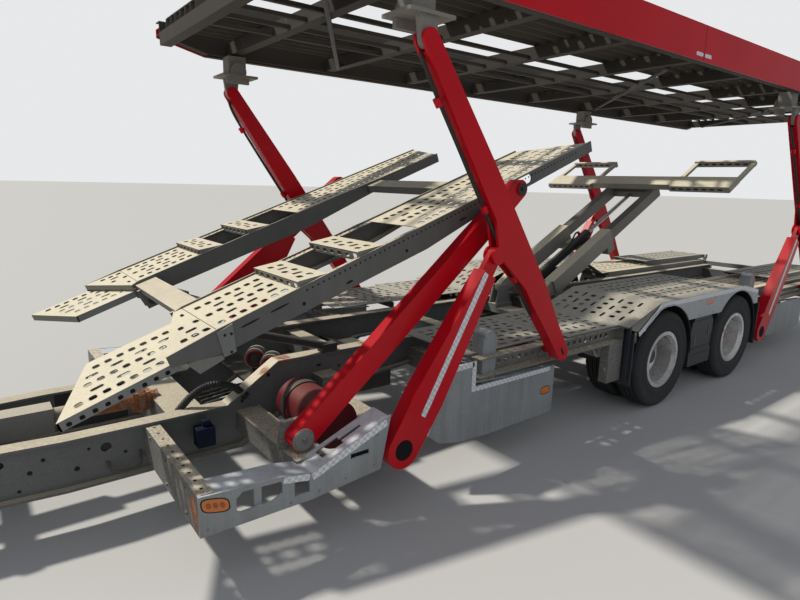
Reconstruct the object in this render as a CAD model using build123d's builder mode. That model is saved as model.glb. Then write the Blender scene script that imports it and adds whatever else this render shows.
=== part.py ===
from build123d import *
import math
import os

os.makedirs("parts", exist_ok=True)

# Overall sizes, millimetres. x runs forward, y to the left, z up, the road is z = 0.
# Lengths along the trailer are written from the front axle; AX puts that axle in the shared frame.
AX = -947.5
HALF_WIDTH = 1275.0
WHEEL_RADIUS = 400.0
AXLE_SPACING = 1280.0
REAR_SET = -4610.0

# Pivots of the deck lift, side view (x, z)
STRUT_PIN = (2683.0, 365.0)
KNUCKLE = (2030.0, 1372.5)
DECK_PIN = (2585.0, 2437.0)
FOOT = (1363.0, 687.0)

# Pivots of the tilting platform, side view (x, z)
PLATFORM_PIN = (3506.0, 984.0)
BOOM_PIN = (3190.0, 493.0)
BOOM_HEAD = (1682.0, 1745.0)
PLATFORM_SLOPE = 20.1

# The two runways of the platform lie between these distances from the middle
RUNWAY_IN = 450.0
RUNWAY_OUT = 1000.0

# Pivot and slope of the wheel support boom, side view (x, z)
SUPPORT_PIN = (330.0, 790.0)
SUPPORT_SLOPE = 28.3


def side(y):
    """Upright plane along the trailer at y, looking to the right, x from the front axle."""
    return Plane(origin=(AX, y, 0), x_dir=(1, 0, 0), z_dir=(0, -1, 0))


def slab(points, y0, y1):
    """Plate with a side view outline, from y0 to y1."""
    with BuildPart() as made:
        with BuildSketch(side(y1)):
            with BuildLine():
                Polyline(*points, close=True)
            make_face()
        extrude(amount=y1 - y0)
    return made.part


def box(x0, x1, y0, y1, z0, z1):
    """Block between two corners."""
    with BuildPart() as made:
        with Locations((AX + (x0 + x1) / 2, (y0 + y1) / 2, (z0 + z1) / 2)):
            Box(x1 - x0, y1 - y0, z1 - z0)
    return made.part


def disc(centre, radius, y0, y1):
    """Round bar across the trailer at a side view centre, from y0 to y1."""
    with BuildPart() as made:
        with BuildSketch(side(y1)):
            with Locations(centre):
                Circle(radius)
        extrude(amount=y1 - y0)
    return made.part


def rod(start, end, radius, y):
    """Round bar between two side view points, at y."""
    reach = math.dist(start, end)
    way = ((end[0] - start[0]) / reach, 0, (end[1] - start[1]) / reach)
    with BuildPart() as made:
        with BuildSketch(Plane(origin=(AX + start[0], y, start[1]), x_dir=(0, 1, 0), z_dir=way)):
            Circle(radius)
        extrude(amount=reach)
    return made.part


def strip(points, width):
    """Outline of a band of even width whose middle line is the given broken line."""
    left = []
    right = []
    for i in range(len(points)):
        before = points[max(i - 1, 0)]
        here = points[i]
        after = points[min(i + 1, len(points) - 1)]
        a = math.atan2(here[1] - before[1], here[0] - before[0])
        b = math.atan2(after[1] - here[1], after[0] - here[0])
        if i == 0:
            a = b
        if i == len(points) - 1:
            b = a
        mid = (a + b) / 2
        reach = width / 2 / math.cos((b - a) / 2)
        left.append((here[0] - reach * math.sin(mid), here[1] + reach * math.cos(mid)))
        right.append((here[0] + reach * math.sin(mid), here[1] - reach * math.cos(mid)))
    return left + right[::-1]


def along(start, angle, reach, lift):
    """Side view point: reach rearwards from start up a slope, then lift square to it."""
    a = math.radians(angle)
    x = start[0] - reach * math.cos(a) + lift * math.sin(a)
    return (x, start[1] + reach * math.sin(a) + lift * math.cos(a))


# Main frame: two I-section rails, parallel over the axles, converging to the drawbar head,
# joined by box cross members. All welded into one piece.
RAIL_Y = 380.0
RAIL_FLANGE = 96.0
plan = [(3400.0, RAIL_Y), (4150.0, RAIL_Y), (6420.0, 150.0)]
rail_top = [(3420.0, 471.0), (3320.0, 471.0), (3000.0, 685.0), (-4250.0, 685.0)]
rail_low = [(3420.0, 207.0), (3240.0, 207.0), (2850.0, 430.0), (1900.0, 507.0), (-4250.0, 507.0)]
cross_members = [
    # x0, x1, z0, z1
    (3440, 3640, 250, 470),
    (2450, 2560, 500, 640),
    (1350, 1470, 515, 640),
    (-120, 0, 515, 640),
    (-1400, -1280, 515, 640),
    (-2650, -2530, 515, 640),
    (-4250, -4130, 515, 640),
]
with BuildPart() as chassis_frame:
    with BuildSketch(Plane.XY.offset(200)):
        with BuildLine():
            Polyline(*[(AX + x, y) for x, y in strip(plan, 12)], close=True)
        make_face()
    extrude(amount=278)
    for z in (200, 464):
        with BuildSketch(Plane.XY.offset(z)):
            with BuildLine():
                Polyline(*[(AX + x, y) for x, y in strip(plan, RAIL_FLANGE)], close=True)
            make_face()
        extrude(amount=14)
    add(slab(rail_top + rail_low[::-1], RAIL_Y - 6, RAIL_Y + 6))
    add(slab(strip(rail_top, 14), RAIL_Y - RAIL_FLANGE / 2, RAIL_Y + RAIL_FLANGE / 2))
    add(slab(strip(rail_low, 14), RAIL_Y - RAIL_FLANGE / 2, RAIL_Y + RAIL_FLANGE / 2))
    for x, z, r in [(3960, 380, 26), (4420, 395, 22), (4560, 300, 16), (5150, 330, 24), (5500, 390, 18)]:
        add(disc((x, z), r, 100, 460), mode=Mode.SUBTRACT)
    mirror(about=Plane.XZ)
    for x0, x1, z0, z1 in cross_members:
        add(box(x0, x1, -RAIL_Y, RAIL_Y, z0, z1))
    add(box(6200, 6420, -170, 170, 214, 464))
chassis_frame.part.label = "chassis_frame"

# Drawbar head: coupling eye on a forged shank bolted to the frame nose
EYE_X = 6705.0
EYE_Z = 340.0
EYE_BORE = 25.0
with BuildPart() as drawbar_eye:
    add(box(6420.0, 6450, -150, 150, 240, 440))
    with BuildSketch(Plane(origin=(AX + 6450, 0, EYE_Z), x_dir=(0, 1, 0), z_dir=(1, 0, 0))):
        Circle(62)
    with BuildSketch(Plane(origin=(AX + 6650, 0, EYE_Z), x_dir=(0, 1, 0), z_dir=(1, 0, 0))):
        Circle(36)
    loft()
    with BuildSketch(Plane.XY.offset(EYE_Z - 22.5)):
        with Locations((AX + EYE_X, 0)):
            Circle(70)
    extrude(amount=45)
    with BuildSketch(Plane.XY.offset(EYE_Z - 60)):
        with Locations((AX + EYE_X, 0)):
            Circle(EYE_BORE)
    extrude(amount=120, mode=Mode.SUBTRACT)
drawbar_eye.part.label = "drawbar_eye"

# Parking leg: square tube with a wound inner leg and a foot plate on the road
LEG_X = 5650.0
with BuildPart() as parking_leg:
    with Locations((AX + LEG_X, 0, 400)):
        Box(110, 110, 420)
    with Locations((AX + LEG_X, 0, 130)):
        Box(84, 84, 230)
    with Locations((AX + LEG_X, 0, 10)):
        Box(240, 240, 20)
    with Locations((AX + LEG_X, 0, 340)):
        Box(90, 470, 60)
    with Locations((AX + LEG_X, 0, 628)):
        Cylinder(32, 36)
    with Locations((AX + LEG_X + 55, 0, 560)):
        Cylinder(10, 150, rotation=(0, 90, 0))
    add(chassis_frame.part, mode=Mode.SUBTRACT)
parking_leg.part.label = "parking_leg"

# Outriggers: the front cross panel, the box beams to the sides and the boom pin lugs
with BuildPart() as outriggers:
    add(box(3763, 3773, RAIL_Y, 1262, 269, 459))
    add(box(3700, 3773, RAIL_Y, 1262, 451, 459))
    add(box(3700, 3773, RAIL_Y, 1262, 269, 277))
    for x0, x1, y1, z0, z1 in [
        (3110, 3260, 1155, 300, 420),
        (2600, 2760, 1110, 290, 440),
        (1880, 1960, 1140, 470, 600),
        (610, 700, 1110, 500, 600),
        (-2010, -1850, 1110, 290, 440),
        (-2730, -2650, 1140, 470, 600),
        (-4020, -3930, 1110, 500, 600),
    ]:
        add(box(x0, x1, RAIL_Y, y1, z0, z1))
    for x0, x1, z0, z1 in [(2610, 2750, 430, 560), (-2000, -1860, 430, 560)]:
        add(box(x0, x1, RAIL_Y, RAIL_Y + 140, z0, z1))
    add(slab([(3105, 430), (3280, 430), (3260, 570), (3120, 570)], 980, 1012))
    add(disc(BOOM_PIN, 30, 980, 1106))
    add(disc(BOOM_PIN, 52, 1102, 1110))
    for dx in (0, REAR_SET):
        add(slab([(2600 + dx, 290), (2770 + dx, 290), (2750 + dx, 460), (2620 + dx, 460)], 1075, 1110))
        add(disc((STRUT_PIN[0] + dx, STRUT_PIN[1]), 38, 1100, 1225))
    mirror(about=Plane.XZ)
    add(chassis_frame.part, mode=Mode.SUBTRACT)
outriggers.part.label = "outriggers"

# Side rails: channels open to the outside, with a row of lashing holes, in which the arm feet run
RAIL_Z0 = 606.0
RAIL_Z1 = 732.0
with BuildPart() as side_rails:
    for x0, x1 in [(480, 2040), (480 + REAR_SET, 2040 + REAR_SET)]:
        add(box(x0, x1, 1100, 1108, RAIL_Z0, RAIL_Z1))
        add(box(x0, x1, 1100, 1178, RAIL_Z0, RAIL_Z0 + 9))
        add(box(x0, x1, 1100, 1178, RAIL_Z1 - 9, RAIL_Z1))
        add(box(x0, x0 + 10, 1100, 1178, RAIL_Z0, RAIL_Z1))
        add(box(x0, x0 + 180, 1108, 1178, 300, RAIL_Z0))
        for k in range(22):
            add(disc((x0 + 130 + 66 * k, 662), 17, 1090, 1112), mode=Mode.SUBTRACT)
    mirror(about=Plane.XZ)
    add(outriggers.part, mode=Mode.SUBTRACT)
side_rails.part.label = "side_rails"

# Side panels: low skirt plates at the front with window openings and a sloping top flange, skirts
# inboard of the arms, and the round-topped uprights that the booms and the wheel boom come down on
front_outline = [(3773, 269), (3773, 459), (3389, 435), (3237, 407), (2775, 590), (2836, 305), (3240, 269)]
rear_outline = [
    (2050, 722), (2280, 716), (2300, 600), (2420, 330), (2330, 262), (2180, 228), (1930, 215),
    (1290, 223), (1290, 560), (2050, 560),
]
with BuildPart() as side_panels:
    add(slab(front_outline, 1263, HALF_WIDTH))
    add(slab(strip([(3762, 452), (3389, 428), (3237, 400), (2782, 580)], 8), 1120, 1263))
    add(slab(strip([(3762, 273), (3240, 273), (2840, 309)], 8), 1200, 1263))
    for x0, x1, z0, z1 in [(3250, 3330, 312, 392), (2910, 3020, 412, 440)]:
        add(box(x0, x1, 1200, 1300, z0, z1), mode=Mode.SUBTRACT)
    window = [
        (3610, 340), (3610, 400), (3580, 424), (3400, 414), (3390, 400), (3390, 352), (3440, 330),
        (3590, 328),
    ]
    add(slab(window, 1200, 1300), mode=Mode.SUBTRACT)
    add(box(3488, 3524, 1235, 1262, 300, 440))
    for x, y0, y1 in [(3090, 1150, 1222), (2970, 1176, 1196)]:
        z = 400 + (3237 - x) * 180 / 455
        hole = [(x - 62, z - 38), (x + 62, z - 74), (x + 62, z + 26), (x - 62, z + 62)]
        add(slab(hole, y0, y1), mode=Mode.SUBTRACT)
    for dx in (0, REAR_SET):
        add(slab([(x + dx, z) for x, z in rear_outline], 1150, 1162))
        add(slab(strip([(2296 + dx, 596), (1290 + dx, 541)], 8), 1100, 1150))
    add(slab([(1862, 560), (1978, 560), (1978, 838), (1862, 838)], 1040, 1140))
    add(disc((1920, 838), 50, 1040, 1140))
    add(slab([(-1930, 440), (-1814, 440), (-1814, 896), (-1930, 896)], 1040, 1140))
    add(disc((-1872, 896), 50, 1040, 1140))
    mirror(about=Plane.XZ)
    add(outriggers.part, mode=Mode.SUBTRACT)
    add(side_rails.part, mode=Mode.SUBTRACT)
side_panels.part.label = "side_panels"

# Wheel decks: humped plate decks over the wheels with a plate skirt cut out round the tyres
hump_front = [(2080, 742), (560, 742), (480, 767.8)]
hump_over = [(480, 767.8), (120, 884), (-1345, 884), (-1665, 742), (-1790, 742)]
with BuildPart() as wheel_decks:
    add(slab(strip(hump_front, 8), 430, 1090))
    add(slab(strip([(1150, 742), (560, 742), (480, 767.8)], 8), 1080, 1174))
    add(slab(strip(hump_over, 8), 430, 1263))
    with BuildSketch(side(HALF_WIDTH)):
        with BuildLine():
            Polyline((432, 690), (120, 888), (-1361, 888), (-1690, 826), (-1712, 690), close=True)
        make_face()
        for x in (0, -AXLE_SPACING):
            with Locations((x, WHEEL_RADIUS)):
                Circle(WHEEL_RADIUS + 50, mode=Mode.SUBTRACT)
    extrude(amount=12)
    for x in (0, -AXLE_SPACING):
        with BuildSketch(side(1263)):
            with Locations((x, WHEEL_RADIUS)):
                Circle(WHEEL_RADIUS + 58)
                Circle(WHEEL_RADIUS + 50, mode=Mode.SUBTRACT)
                with Locations((0, -WHEEL_RADIUS - 220)):
                    Rectangle(1200, 1200, mode=Mode.SUBTRACT)
        extrude(amount=490)
    mirror(about=Plane.XZ)
    add(side_rails.part, mode=Mode.SUBTRACT)
    add(side_panels.part, mode=Mode.SUBTRACT)
wheel_decks.part.label = "wheel_decks"

# Tool boxes between the wheels, and the mud flaps ahead of and behind them
with BuildPart() as tool_boxes:
    with BuildSketch(side(1258)):
        with BuildLine():
            Polyline((-505, 690), (-775, 690), (-822, 640), (-838, 560), (-835, 250), (-445, 250),
                     (-442, 560), (-458, 640), close=True)
        make_face()
    extrude(amount=260)
    for x in (466, -1792):
        with Locations((AX + x, 1140, 470)):
            Box(12, 240, 420)
    mirror(about=Plane.XZ)
    add(side_rails.part, mode=Mode.SUBTRACT)
    add(wheel_decks.part, mode=Mode.SUBTRACT)
tool_boxes.part.label = "tool_boxes"

# Axles: round beams, spindles and brake back plates
SPINDLE = 45.0
with BuildPart() as axles:
    for x in (0.0, -AXLE_SPACING):
        add(disc((x, WHEEL_RADIUS), 62, -775, 775))
        add(disc((x, WHEEL_RADIUS), SPINDLE, -1095, 1095))
        for y0 in (762, -774):
            add(disc((x, WHEEL_RADIUS), 168, y0, y0 + 12))
axles.part.label = "axles"

# Air suspension: hanger, trailing arm, clamp and air spring at each wheel
with BuildPart() as suspension:
    for x in (0.0, -AXLE_SPACING):
        add(slab([(x + 330, 380), (x + 470, 380), (x + 450, 680), (x + 350, 680)], 430, 450))
        add(slab([(x + 330, 380), (x + 470, 380), (x + 450, 680), (x + 350, 680)], 530, 550))
        add(disc((x + 400, 440), 24, 430, 550))
        arm = [(440, 410), (440, 470), (100, 515), (-360, 515), (-360, 470), (100, 455)]
        add(slab([(x + dx, z) for dx, z in arm], 452, 528))
        add(slab([(x - 80, 462), (x + 80, 462), (x + 80, 330), (x - 80, 330)], 460, 520))
    mirror(about=Plane.XZ)
    for x in (0.0, -AXLE_SPACING):
        for y in (-490, 490):
            with Locations((AX + x - 290, y, 600)):
                Cylinder(95, 170)
    add(chassis_frame.part, mode=Mode.SUBTRACT)
    add(axles.part, mode=Mode.SUBTRACT)
suspension.part.label = "suspension"

# Wheels: twin tyres on two dished steel rims back to back, with hub and brake drum
TWIN_MIDDLE = 1030.0
rim_profile = [
    (235, 1262), (235, 1254), (214, 1246), (206, 1228), (206, 1092), (222, 1064), (235, 1058), (235, 1050),
    (216, 1050), (196, 1080), (165, 1040), (150, 1030), (60, 1030), (60, 1044), (146, 1044), (190, 1098),
    (194, 1104), (194, 1232), (206, 1262),
]
hub_profile = [
    (SPINDLE + 0.05, 900), (100, 900), (100, 985), (150, 985), (150, 792), (165, 792), (165, 1004),
    (140, 1016), (88, 1016), (88, 1130), (70, 1150), (0, 1150), (0, 1100), (SPINDLE + 0.05, 1100),
]
tyre_profile = [
    (207, 1096), (224, 1070), (239, 1063), (262, 1053), (310, 1050), (360, 1053), (388, 1064), (399, 1084),
    (400, 1100), (400, 1225), (399, 1241), (388, 1261), (360, 1272), (310, 1275), (262, 1272), (239, 1251),
    (216, 1242), (207, 1226),
]
wheels = []
for name, x, s in [
    ("front_left", 0.0, 1),
    ("front_right", 0.0, -1),
    ("rear_left", -AXLE_SPACING, 1),
    ("rear_right", -AXLE_SPACING, -1),
]:
    face = Plane(origin=(AX + x, 0, WHEEL_RADIUS), x_dir=(1, 0, 0), z_dir=(0, 0, 1))
    spin = Axis((AX + x, 0, WHEEL_RADIUS), (0, 1, 0))
    with BuildPart() as tyre:
        with BuildSketch(face):
            for flip in (False, True):
                with BuildLine():
                    pts = [(r, s * (2 * TWIN_MIDDLE - y if flip else y)) for r, y in tyre_profile]
                    Polyline(*pts, close=True)
                make_face()
        revolve(axis=spin)
    tyre.part.label = "tyres_" + name
    wheels.append(tyre)
    with BuildPart() as rim:
        with BuildSketch(face):
            for flip in (False, True):
                with BuildLine():
                    pts = [(r, s * (2 * TWIN_MIDDLE - y if flip else y)) for r, y in rim_profile]
                    Polyline(*pts, close=True)
                make_face()
            with BuildLine():
                Polyline(*[(r, s * y) for r, y in hub_profile], close=True)
            make_face()
        revolve(axis=spin)
        with BuildSketch(Plane(origin=(AX + x, s * 1200, WHEEL_RADIUS), x_dir=(1, 0, 0), z_dir=(0, -s, 0))):
            with PolarLocations(168, 8, start_angle=22.5):
                Circle(19)
        extrude(amount=190, mode=Mode.SUBTRACT)
        with BuildSketch(Plane(origin=(AX + x, s * 1044, WHEEL_RADIUS), x_dir=(1, 0, 0), z_dir=(0, s, 0))):
            with PolarLocations(112.5, 10):
                RegularPolygon(17, 6)
        extrude(amount=22)
    rim.part.label = "rims_" + name
    wheels.append(rim)

# Tanks: red air tank across the left side outboard of the rail, oil tank hung between the rails
TANK = (2930.0, 465.0)
with BuildPart() as air_tank:
    add(disc(TANK, 135, 520, 985))
    for y in (590, 860):
        add(disc(TANK, 141, y, y + 40))
    add(box(2895, 2965, RAIL_Y, 530, 440, 490))
    add(chassis_frame.part, mode=Mode.SUBTRACT)
air_tank.part.label = "air_tank"

with BuildPart() as oil_tank:
    with Locations((AX + 2250, 0, 420)):
        Box(420, 560, 240)
    add(box(2230, 2270, -RAIL_Y, RAIL_Y, 520, 560))
    add(chassis_frame.part, mode=Mode.SUBTRACT)
oil_tank.part.label = "oil_tank"

# Drawbar core: the pushed-in coupling tube with its flange and locking block, and its bracket beam
with BuildPart() as drawbar_core:
    with Locations((AX + 4100, 0, 460)):
        Cylinder(45, 1000, rotation=(0, 90, 0))
    with Locations((AX + 3700, 0, 460)):
        Cylinder(80, 34, rotation=(0, 90, 0))
    with Locations((AX + 3700, 0, 460)):
        Box(100, 110, 110)
    add(box(4560, 4640, -RAIL_Y, RAIL_Y, 400, 520))
    add(box(4630, 5560, -60, 60, 380, 450))
    add(box(4150, 4570, -64, 64, 388, 524))
    add(box(4670, 4740, -76, 76, 364, 466))
    add(box(3630, 3660, -50, 50, 420, 500))
    add(chassis_frame.part, mode=Mode.SUBTRACT)
drawbar_core.part.label = "drawbar_core"

# Rear deck: two runways on cross beams behind the wheels, down to the ramps
with BuildPart() as rear_deck:
    add(box(-4290, -1800, 430, 1040, 742, 750))
    for y0, y1 in [(430, 480), (990, 1040)]:
        add(box(-4290, -1800, y0, y1, 640, 742))
    for x in (-1950, -2600, -3300, -4000, -4240):
        add(box(x - 40, x + 40, RAIL_Y, 1098, 660, 735))
    mirror(about=Plane.XZ)
    add(chassis_frame.part, mode=Mode.SUBTRACT)
    add(side_rails.part, mode=Mode.SUBTRACT)
    add(side_panels.part, mode=Mode.SUBTRACT)
rear_deck.part.label = "rear_deck"

# Tail bar: lamp beam and under-run bar across the back, with the lugs for the ramps' pins
RAMP_PIN = (-4385.0, 790.0)
RAMP_PIN_RADIUS = 14.0
with BuildPart() as tail_bar:
    with Locations((AX - 4330, 0, 470)):
        Box(60, 2440, 130)
    for y in (-380, 380):
        with Locations((AX - 4276, y, 560)):
            Box(60, 90, 240)
    with Locations((AX - 4330, 0, 700)):
        Box(50, 2300, 60)
    for y in (-1100, 1100):
        with Locations((AX - 4330, y, 600)):
            Box(50, 60, 200)
    for s in (1, -1):
        for y in (s * 470, s * 1010):
            add(slab([(-4345, 690), (-4310, 690), (-4310, 730), (-4362, 815), (-4412, 815), (-4412, 765)],
                     y - 9, y + 9))
            add(disc(RAMP_PIN, RAMP_PIN_RADIUS + 0.05, y - 12, y + 12), mode=Mode.SUBTRACT)
    add(chassis_frame.part, mode=Mode.SUBTRACT)
    add(rear_deck.part, mode=Mode.SUBTRACT)
    add(side_rails.part, mode=Mode.SUBTRACT)
tail_bar.part.label = "tail_bar"

# Loading ramps: two leaves hinged behind the runways, lying forward on the rear deck when stowed
RAMP_LENGTH = 1650.0
ramps = []
for name, s in [("ramp_left", 1), ("ramp_right", -1)]:
    y0, y1 = sorted((s * 490, s * 990))
    with BuildPart() as ramp:
        add(box(-4340, RAMP_PIN[0] + RAMP_LENGTH, y0, y1, 810, 818))
        for y in (y0, (y0 + y1) / 2 - 5, y1 - 10):
            rib = [(-4340, 812), (-4340, 772), (-4300, 762), (-2900, 762), (-2735, 800), (-2735, 812)]
            nose = [(-4400, 775), (-4380, 768), (-4330, 772), (-4330, 812), (-4380, 812), (-4400, 805)]
            add(slab(rib, y, y + 10))
            add(slab(nose, y, y + 10))
        add(disc(RAMP_PIN, RAMP_PIN_RADIUS, min(y0, s * 480, s * 1000), max(y1, s * 480, s * 1000)))
    ramp.part.label = name
    ramps.append(ramp)

# Platform stand: slanting round props on the rails that carry the pivot pins of the tilting platform
PROP_Y = 400.0
with BuildPart() as platform_stand:
    add(rod((2640, 720), PLATFORM_PIN, 26, PROP_Y))
    add(box(2590, 2700, PROP_Y - 32, PROP_Y + 32, 688, 744))
    add(disc(PLATFORM_PIN, 42, PROP_Y - 29, PROP_Y + 29))
    add(disc(PLATFORM_PIN, 26, 342, 446))
    mirror(about=Plane.XZ)
    add(chassis_frame.part, mode=Mode.SUBTRACT)
platform_stand.part.label = "platform_stand"

# Tilting platform: two runways, each two channels with plates between, joined by box cross beams.
# Its side views are written along the slope: u rearwards from the pin, w square to the runway.
DECK_W = 108.0
SHEET = 8.0
LIP_W = 126.0
SLOT_U = 1974.4
SLOT_W = 87.8
SLOT_RADIUS = 28.0
FRONT_OUT = -265.0
FRONT_IN = -63.0
END_OUT = 2855.0
END_IN = 2680.0
BAY_START = 424.0
BAY_END = 1244.0


def sloped(points):
    return [along(PLATFORM_PIN, PLATFORM_SLOPE, u, w) for u, w in points]


def leaf(points, w0, w1):
    """Plate lying on the slope with a plan outline in u and y, from w0 up to w1."""
    start = along(PLATFORM_PIN, PLATFORM_SLOPE, 0, w1)
    a = math.radians(PLATFORM_SLOPE)
    lie = Plane(origin=(AX + start[0], 0, start[1]), x_dir=(-math.cos(a), 0, math.sin(a)),
                z_dir=(-math.sin(a), 0, -math.cos(a)))
    with BuildPart() as made:
        with BuildSketch(lie):
            with BuildLine():
                Polyline(*points, close=True)
            make_face()
        extrude(amount=w1 - w0)
    return made.part


with BuildPart() as platform_frame:
    for y, front, drop, end in [
        (RUNWAY_OUT - SHEET, FRONT_OUT, 62, END_OUT),
        (RUNWAY_IN, FRONT_IN, 22, END_IN),
    ]:
        low = [(front, drop), (-30, 4), (1240, -12), (1900, 36), (end, 52)]
        web = [(front, DECK_W + SHEET)] + low + [(end, LIP_W), (-14, LIP_W)]
        add(slab(sloped(web), y, y + SHEET))
    for y0, y1 in [(940, RUNWAY_OUT), (RUNWAY_IN, 510)]:
        foot = [(-30, 4), (1240, -12), (1900, 36), (1900, 44), (1240, -4), (-30, 12)]
        add(slab(sloped(foot), y0, y1))
    for y0, y1 in [(950, RUNWAY_OUT), (RUNWAY_IN, 500)]:
        add(slab(sloped([(BAY_START + 2, DECK_W), (BAY_END - 2, DECK_W), (BAY_END - 2, DECK_W + SHEET),
                         (BAY_START + 2, DECK_W + SHEET)]), y0, y1))
    for y0, y1 in [(962, 996), (454, 488)]:
        add(slab(sloped([(-28, 8), (400, 4), (400, 22), (-28, 22)]), y0, y1))
    for y0, y1 in [(346, 364), (434, 448)]:
        add(slab(sloped([(-62, 90), (-42, -44), (42, -44), (62, 90)]), y0, y1))
    for u0, u1, w0 in [(-42, 92, 67), (1880, 2020, 54)]:
        add(slab(sloped([(u0, w0), (u1, w0), (u1, DECK_W - 1), (u0, DECK_W - 1)]), 0, RUNWAY_IN + 4))
    add(disc(PLATFORM_PIN, 26.05, 330, 449), mode=Mode.SUBTRACT)
    with BuildSketch(side(1010)):
        with Locations(Location((*along(PLATFORM_PIN, PLATFORM_SLOPE, SLOT_U + 76, SLOT_W), 0),
                                (0, 0, -PLATFORM_SLOPE))):
            SlotCenterToCenter(232, 2 * SLOT_RADIUS)
    extrude(amount=22, mode=Mode.SUBTRACT)
    mirror(about=Plane.XZ)
platform_frame.part.label = "platform_frame"

# Platform treads: the fixed plates between the channels with slanted ends and a lip over the
# extensions, cut back where the boom pins travel
IN = RUNWAY_IN + SHEET
OUT = RUNWAY_OUT - SHEET
with BuildPart() as platform_treads:
    add(leaf([(FRONT_OUT, OUT), (BAY_START, OUT), (BAY_START, IN), (FRONT_IN, IN)], DECK_W, DECK_W + SHEET))
    add(leaf([(FRONT_OUT, OUT), (FRONT_OUT + 9, OUT), (FRONT_IN + 9, IN), (FRONT_IN, IN)], 82, DECK_W + 2))
    add(leaf([(BAY_END, OUT), (END_OUT, OUT), (END_IN, IN), (BAY_END, IN)], DECK_W, DECK_W + SHEET))
    pocket = [(SLOT_U - 80, 50), (SLOT_U + 240, 50), (SLOT_U + 240, 150), (SLOT_U - 80, 150)]
    add(slab(sloped(pocket), 978, RUNWAY_OUT), mode=Mode.SUBTRACT)
    mirror(about=Plane.XZ)
platform_treads.part.label = "platform_treads"

# Wheel plates: loose bent wedges that rest on the channels' flanges, two on each runway
with BuildPart() as platform_plates:
    for u0, u1 in [(428, 600), (800, 976)]:
        add(slab(sloped([(u0, 148), (u1, 117), (u1, 125), (u0, 156)]), 462, 988))
        add(slab(sloped([(u0, 102), (u0 + 8, 102), (u0 + 8, 152), (u0, 152)]), 504, 946))
        for y0, y1 in [(462, 470), (980, 988)]:
            add(slab(sloped([(u0, 117), (u1 - 6, 117), (u1 - 6, 120), (u0, 152)]), y0, y1))
        for k in range(6):
            y = 545 + 72 * k
            hole = sloped([(u0 - 10, 117), (u0 + 20, 117), (u0 + 20, 141), (u0 - 10, 141)])
            add(slab(hole, y - 21, y + 21), mode=Mode.SUBTRACT)
    mirror(about=Plane.XZ)
platform_plates.part.label = "platform_plates"

# Platform extensions: pointed leaves that slide out from under the front treads, one on each side; the
# right one stands pushed in a little
EXT_W = 70.0
EXT_IN = RUNWAY_IN + SHEET + 6
EXT_OUT = RUNWAY_OUT - SHEET - 6
TIP_OUT = -738.0
TIP_IN = -530.0
TAIL_OUT = -225.0
TAIL_IN = -35.0
HOLE_PITCH = 52.0
extensions = []
for name, s, push in [("extension_left", 1, 0.0), ("extension_right", -1, 100.0)]:
    tip_out = TIP_OUT + push
    tip_in = TIP_IN + push
    tail_out = TAIL_OUT + push
    tail_in = TAIL_IN + push
    with BuildPart() as extension:
        top = [(tip_out, EXT_OUT), (tail_out, EXT_OUT), (tail_in, EXT_IN), (tip_in, EXT_IN)]
        add(leaf(top, EXT_W - SHEET, EXT_W))
        lip = [(tip_out, EXT_OUT), (tip_out + 9, EXT_OUT), (tip_in + 9, EXT_IN), (tip_in, EXT_IN)]
        add(leaf(lip, 28, EXT_W - 4))
        for u0, u1, y in [(tip_out, tail_out, EXT_OUT - SHEET), (tip_in, tail_in, EXT_IN)]:
            cheek = [(u0, 28), (u1, 28), (u1, EXT_W - 4), (u0, EXT_W - 4)]
            add(slab(sloped(cheek), y, y + SHEET))
        for k in range(9):
            hole = along(PLATFORM_PIN, PLATFORM_SLOPE, tip_out + 39 + HOLE_PITCH * k, 42)
            add(disc(hole, 11, EXT_OUT - 12, EXT_OUT + 4), mode=Mode.SUBTRACT)
        if s < 0:
            mirror(about=Plane.XZ, mode=Mode.REPLACE)
    extension.part.label = name
    extensions.append(extension)

# Booms: box struts from the lugs on the outriggers to the slots in the platform channels
boom_angle = math.degrees(math.atan2(BOOM_HEAD[1] - BOOM_PIN[1], BOOM_PIN[0] - BOOM_HEAD[0]))
boom_length = math.dist(BOOM_PIN, BOOM_HEAD)


def on_boom(points):
    return [along(BOOM_PIN, boom_angle, u, w) for u, w in points]


with BuildPart() as booms:
    add(slab(on_boom([(90, -64), (1500, -64), (1840, -60), (1840, 60), (1500, 66), (90, 64)]), 1020, 1100))
    add(slab(on_boom([(0, -62), (120, -64), (120, 64), (0, 62)]), 1016, 1101))
    add(disc(BOOM_PIN, 62, 1016, 1101))
    add(slab(on_boom([(1800, -60), (boom_length, -56), (boom_length, 56), (1800, 60)]), 1020, 1100))
    add(disc(BOOM_HEAD, 56, 1020, 1100))
    add(disc(BOOM_PIN, 30.06, 1000, 1120), mode=Mode.SUBTRACT)
    add(disc(BOOM_HEAD, 22, 983, 1108))
    add(disc(BOOM_HEAD, 40, 1100, 1110))
    mirror(about=Plane.XZ)
booms.part.label = "booms"

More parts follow.
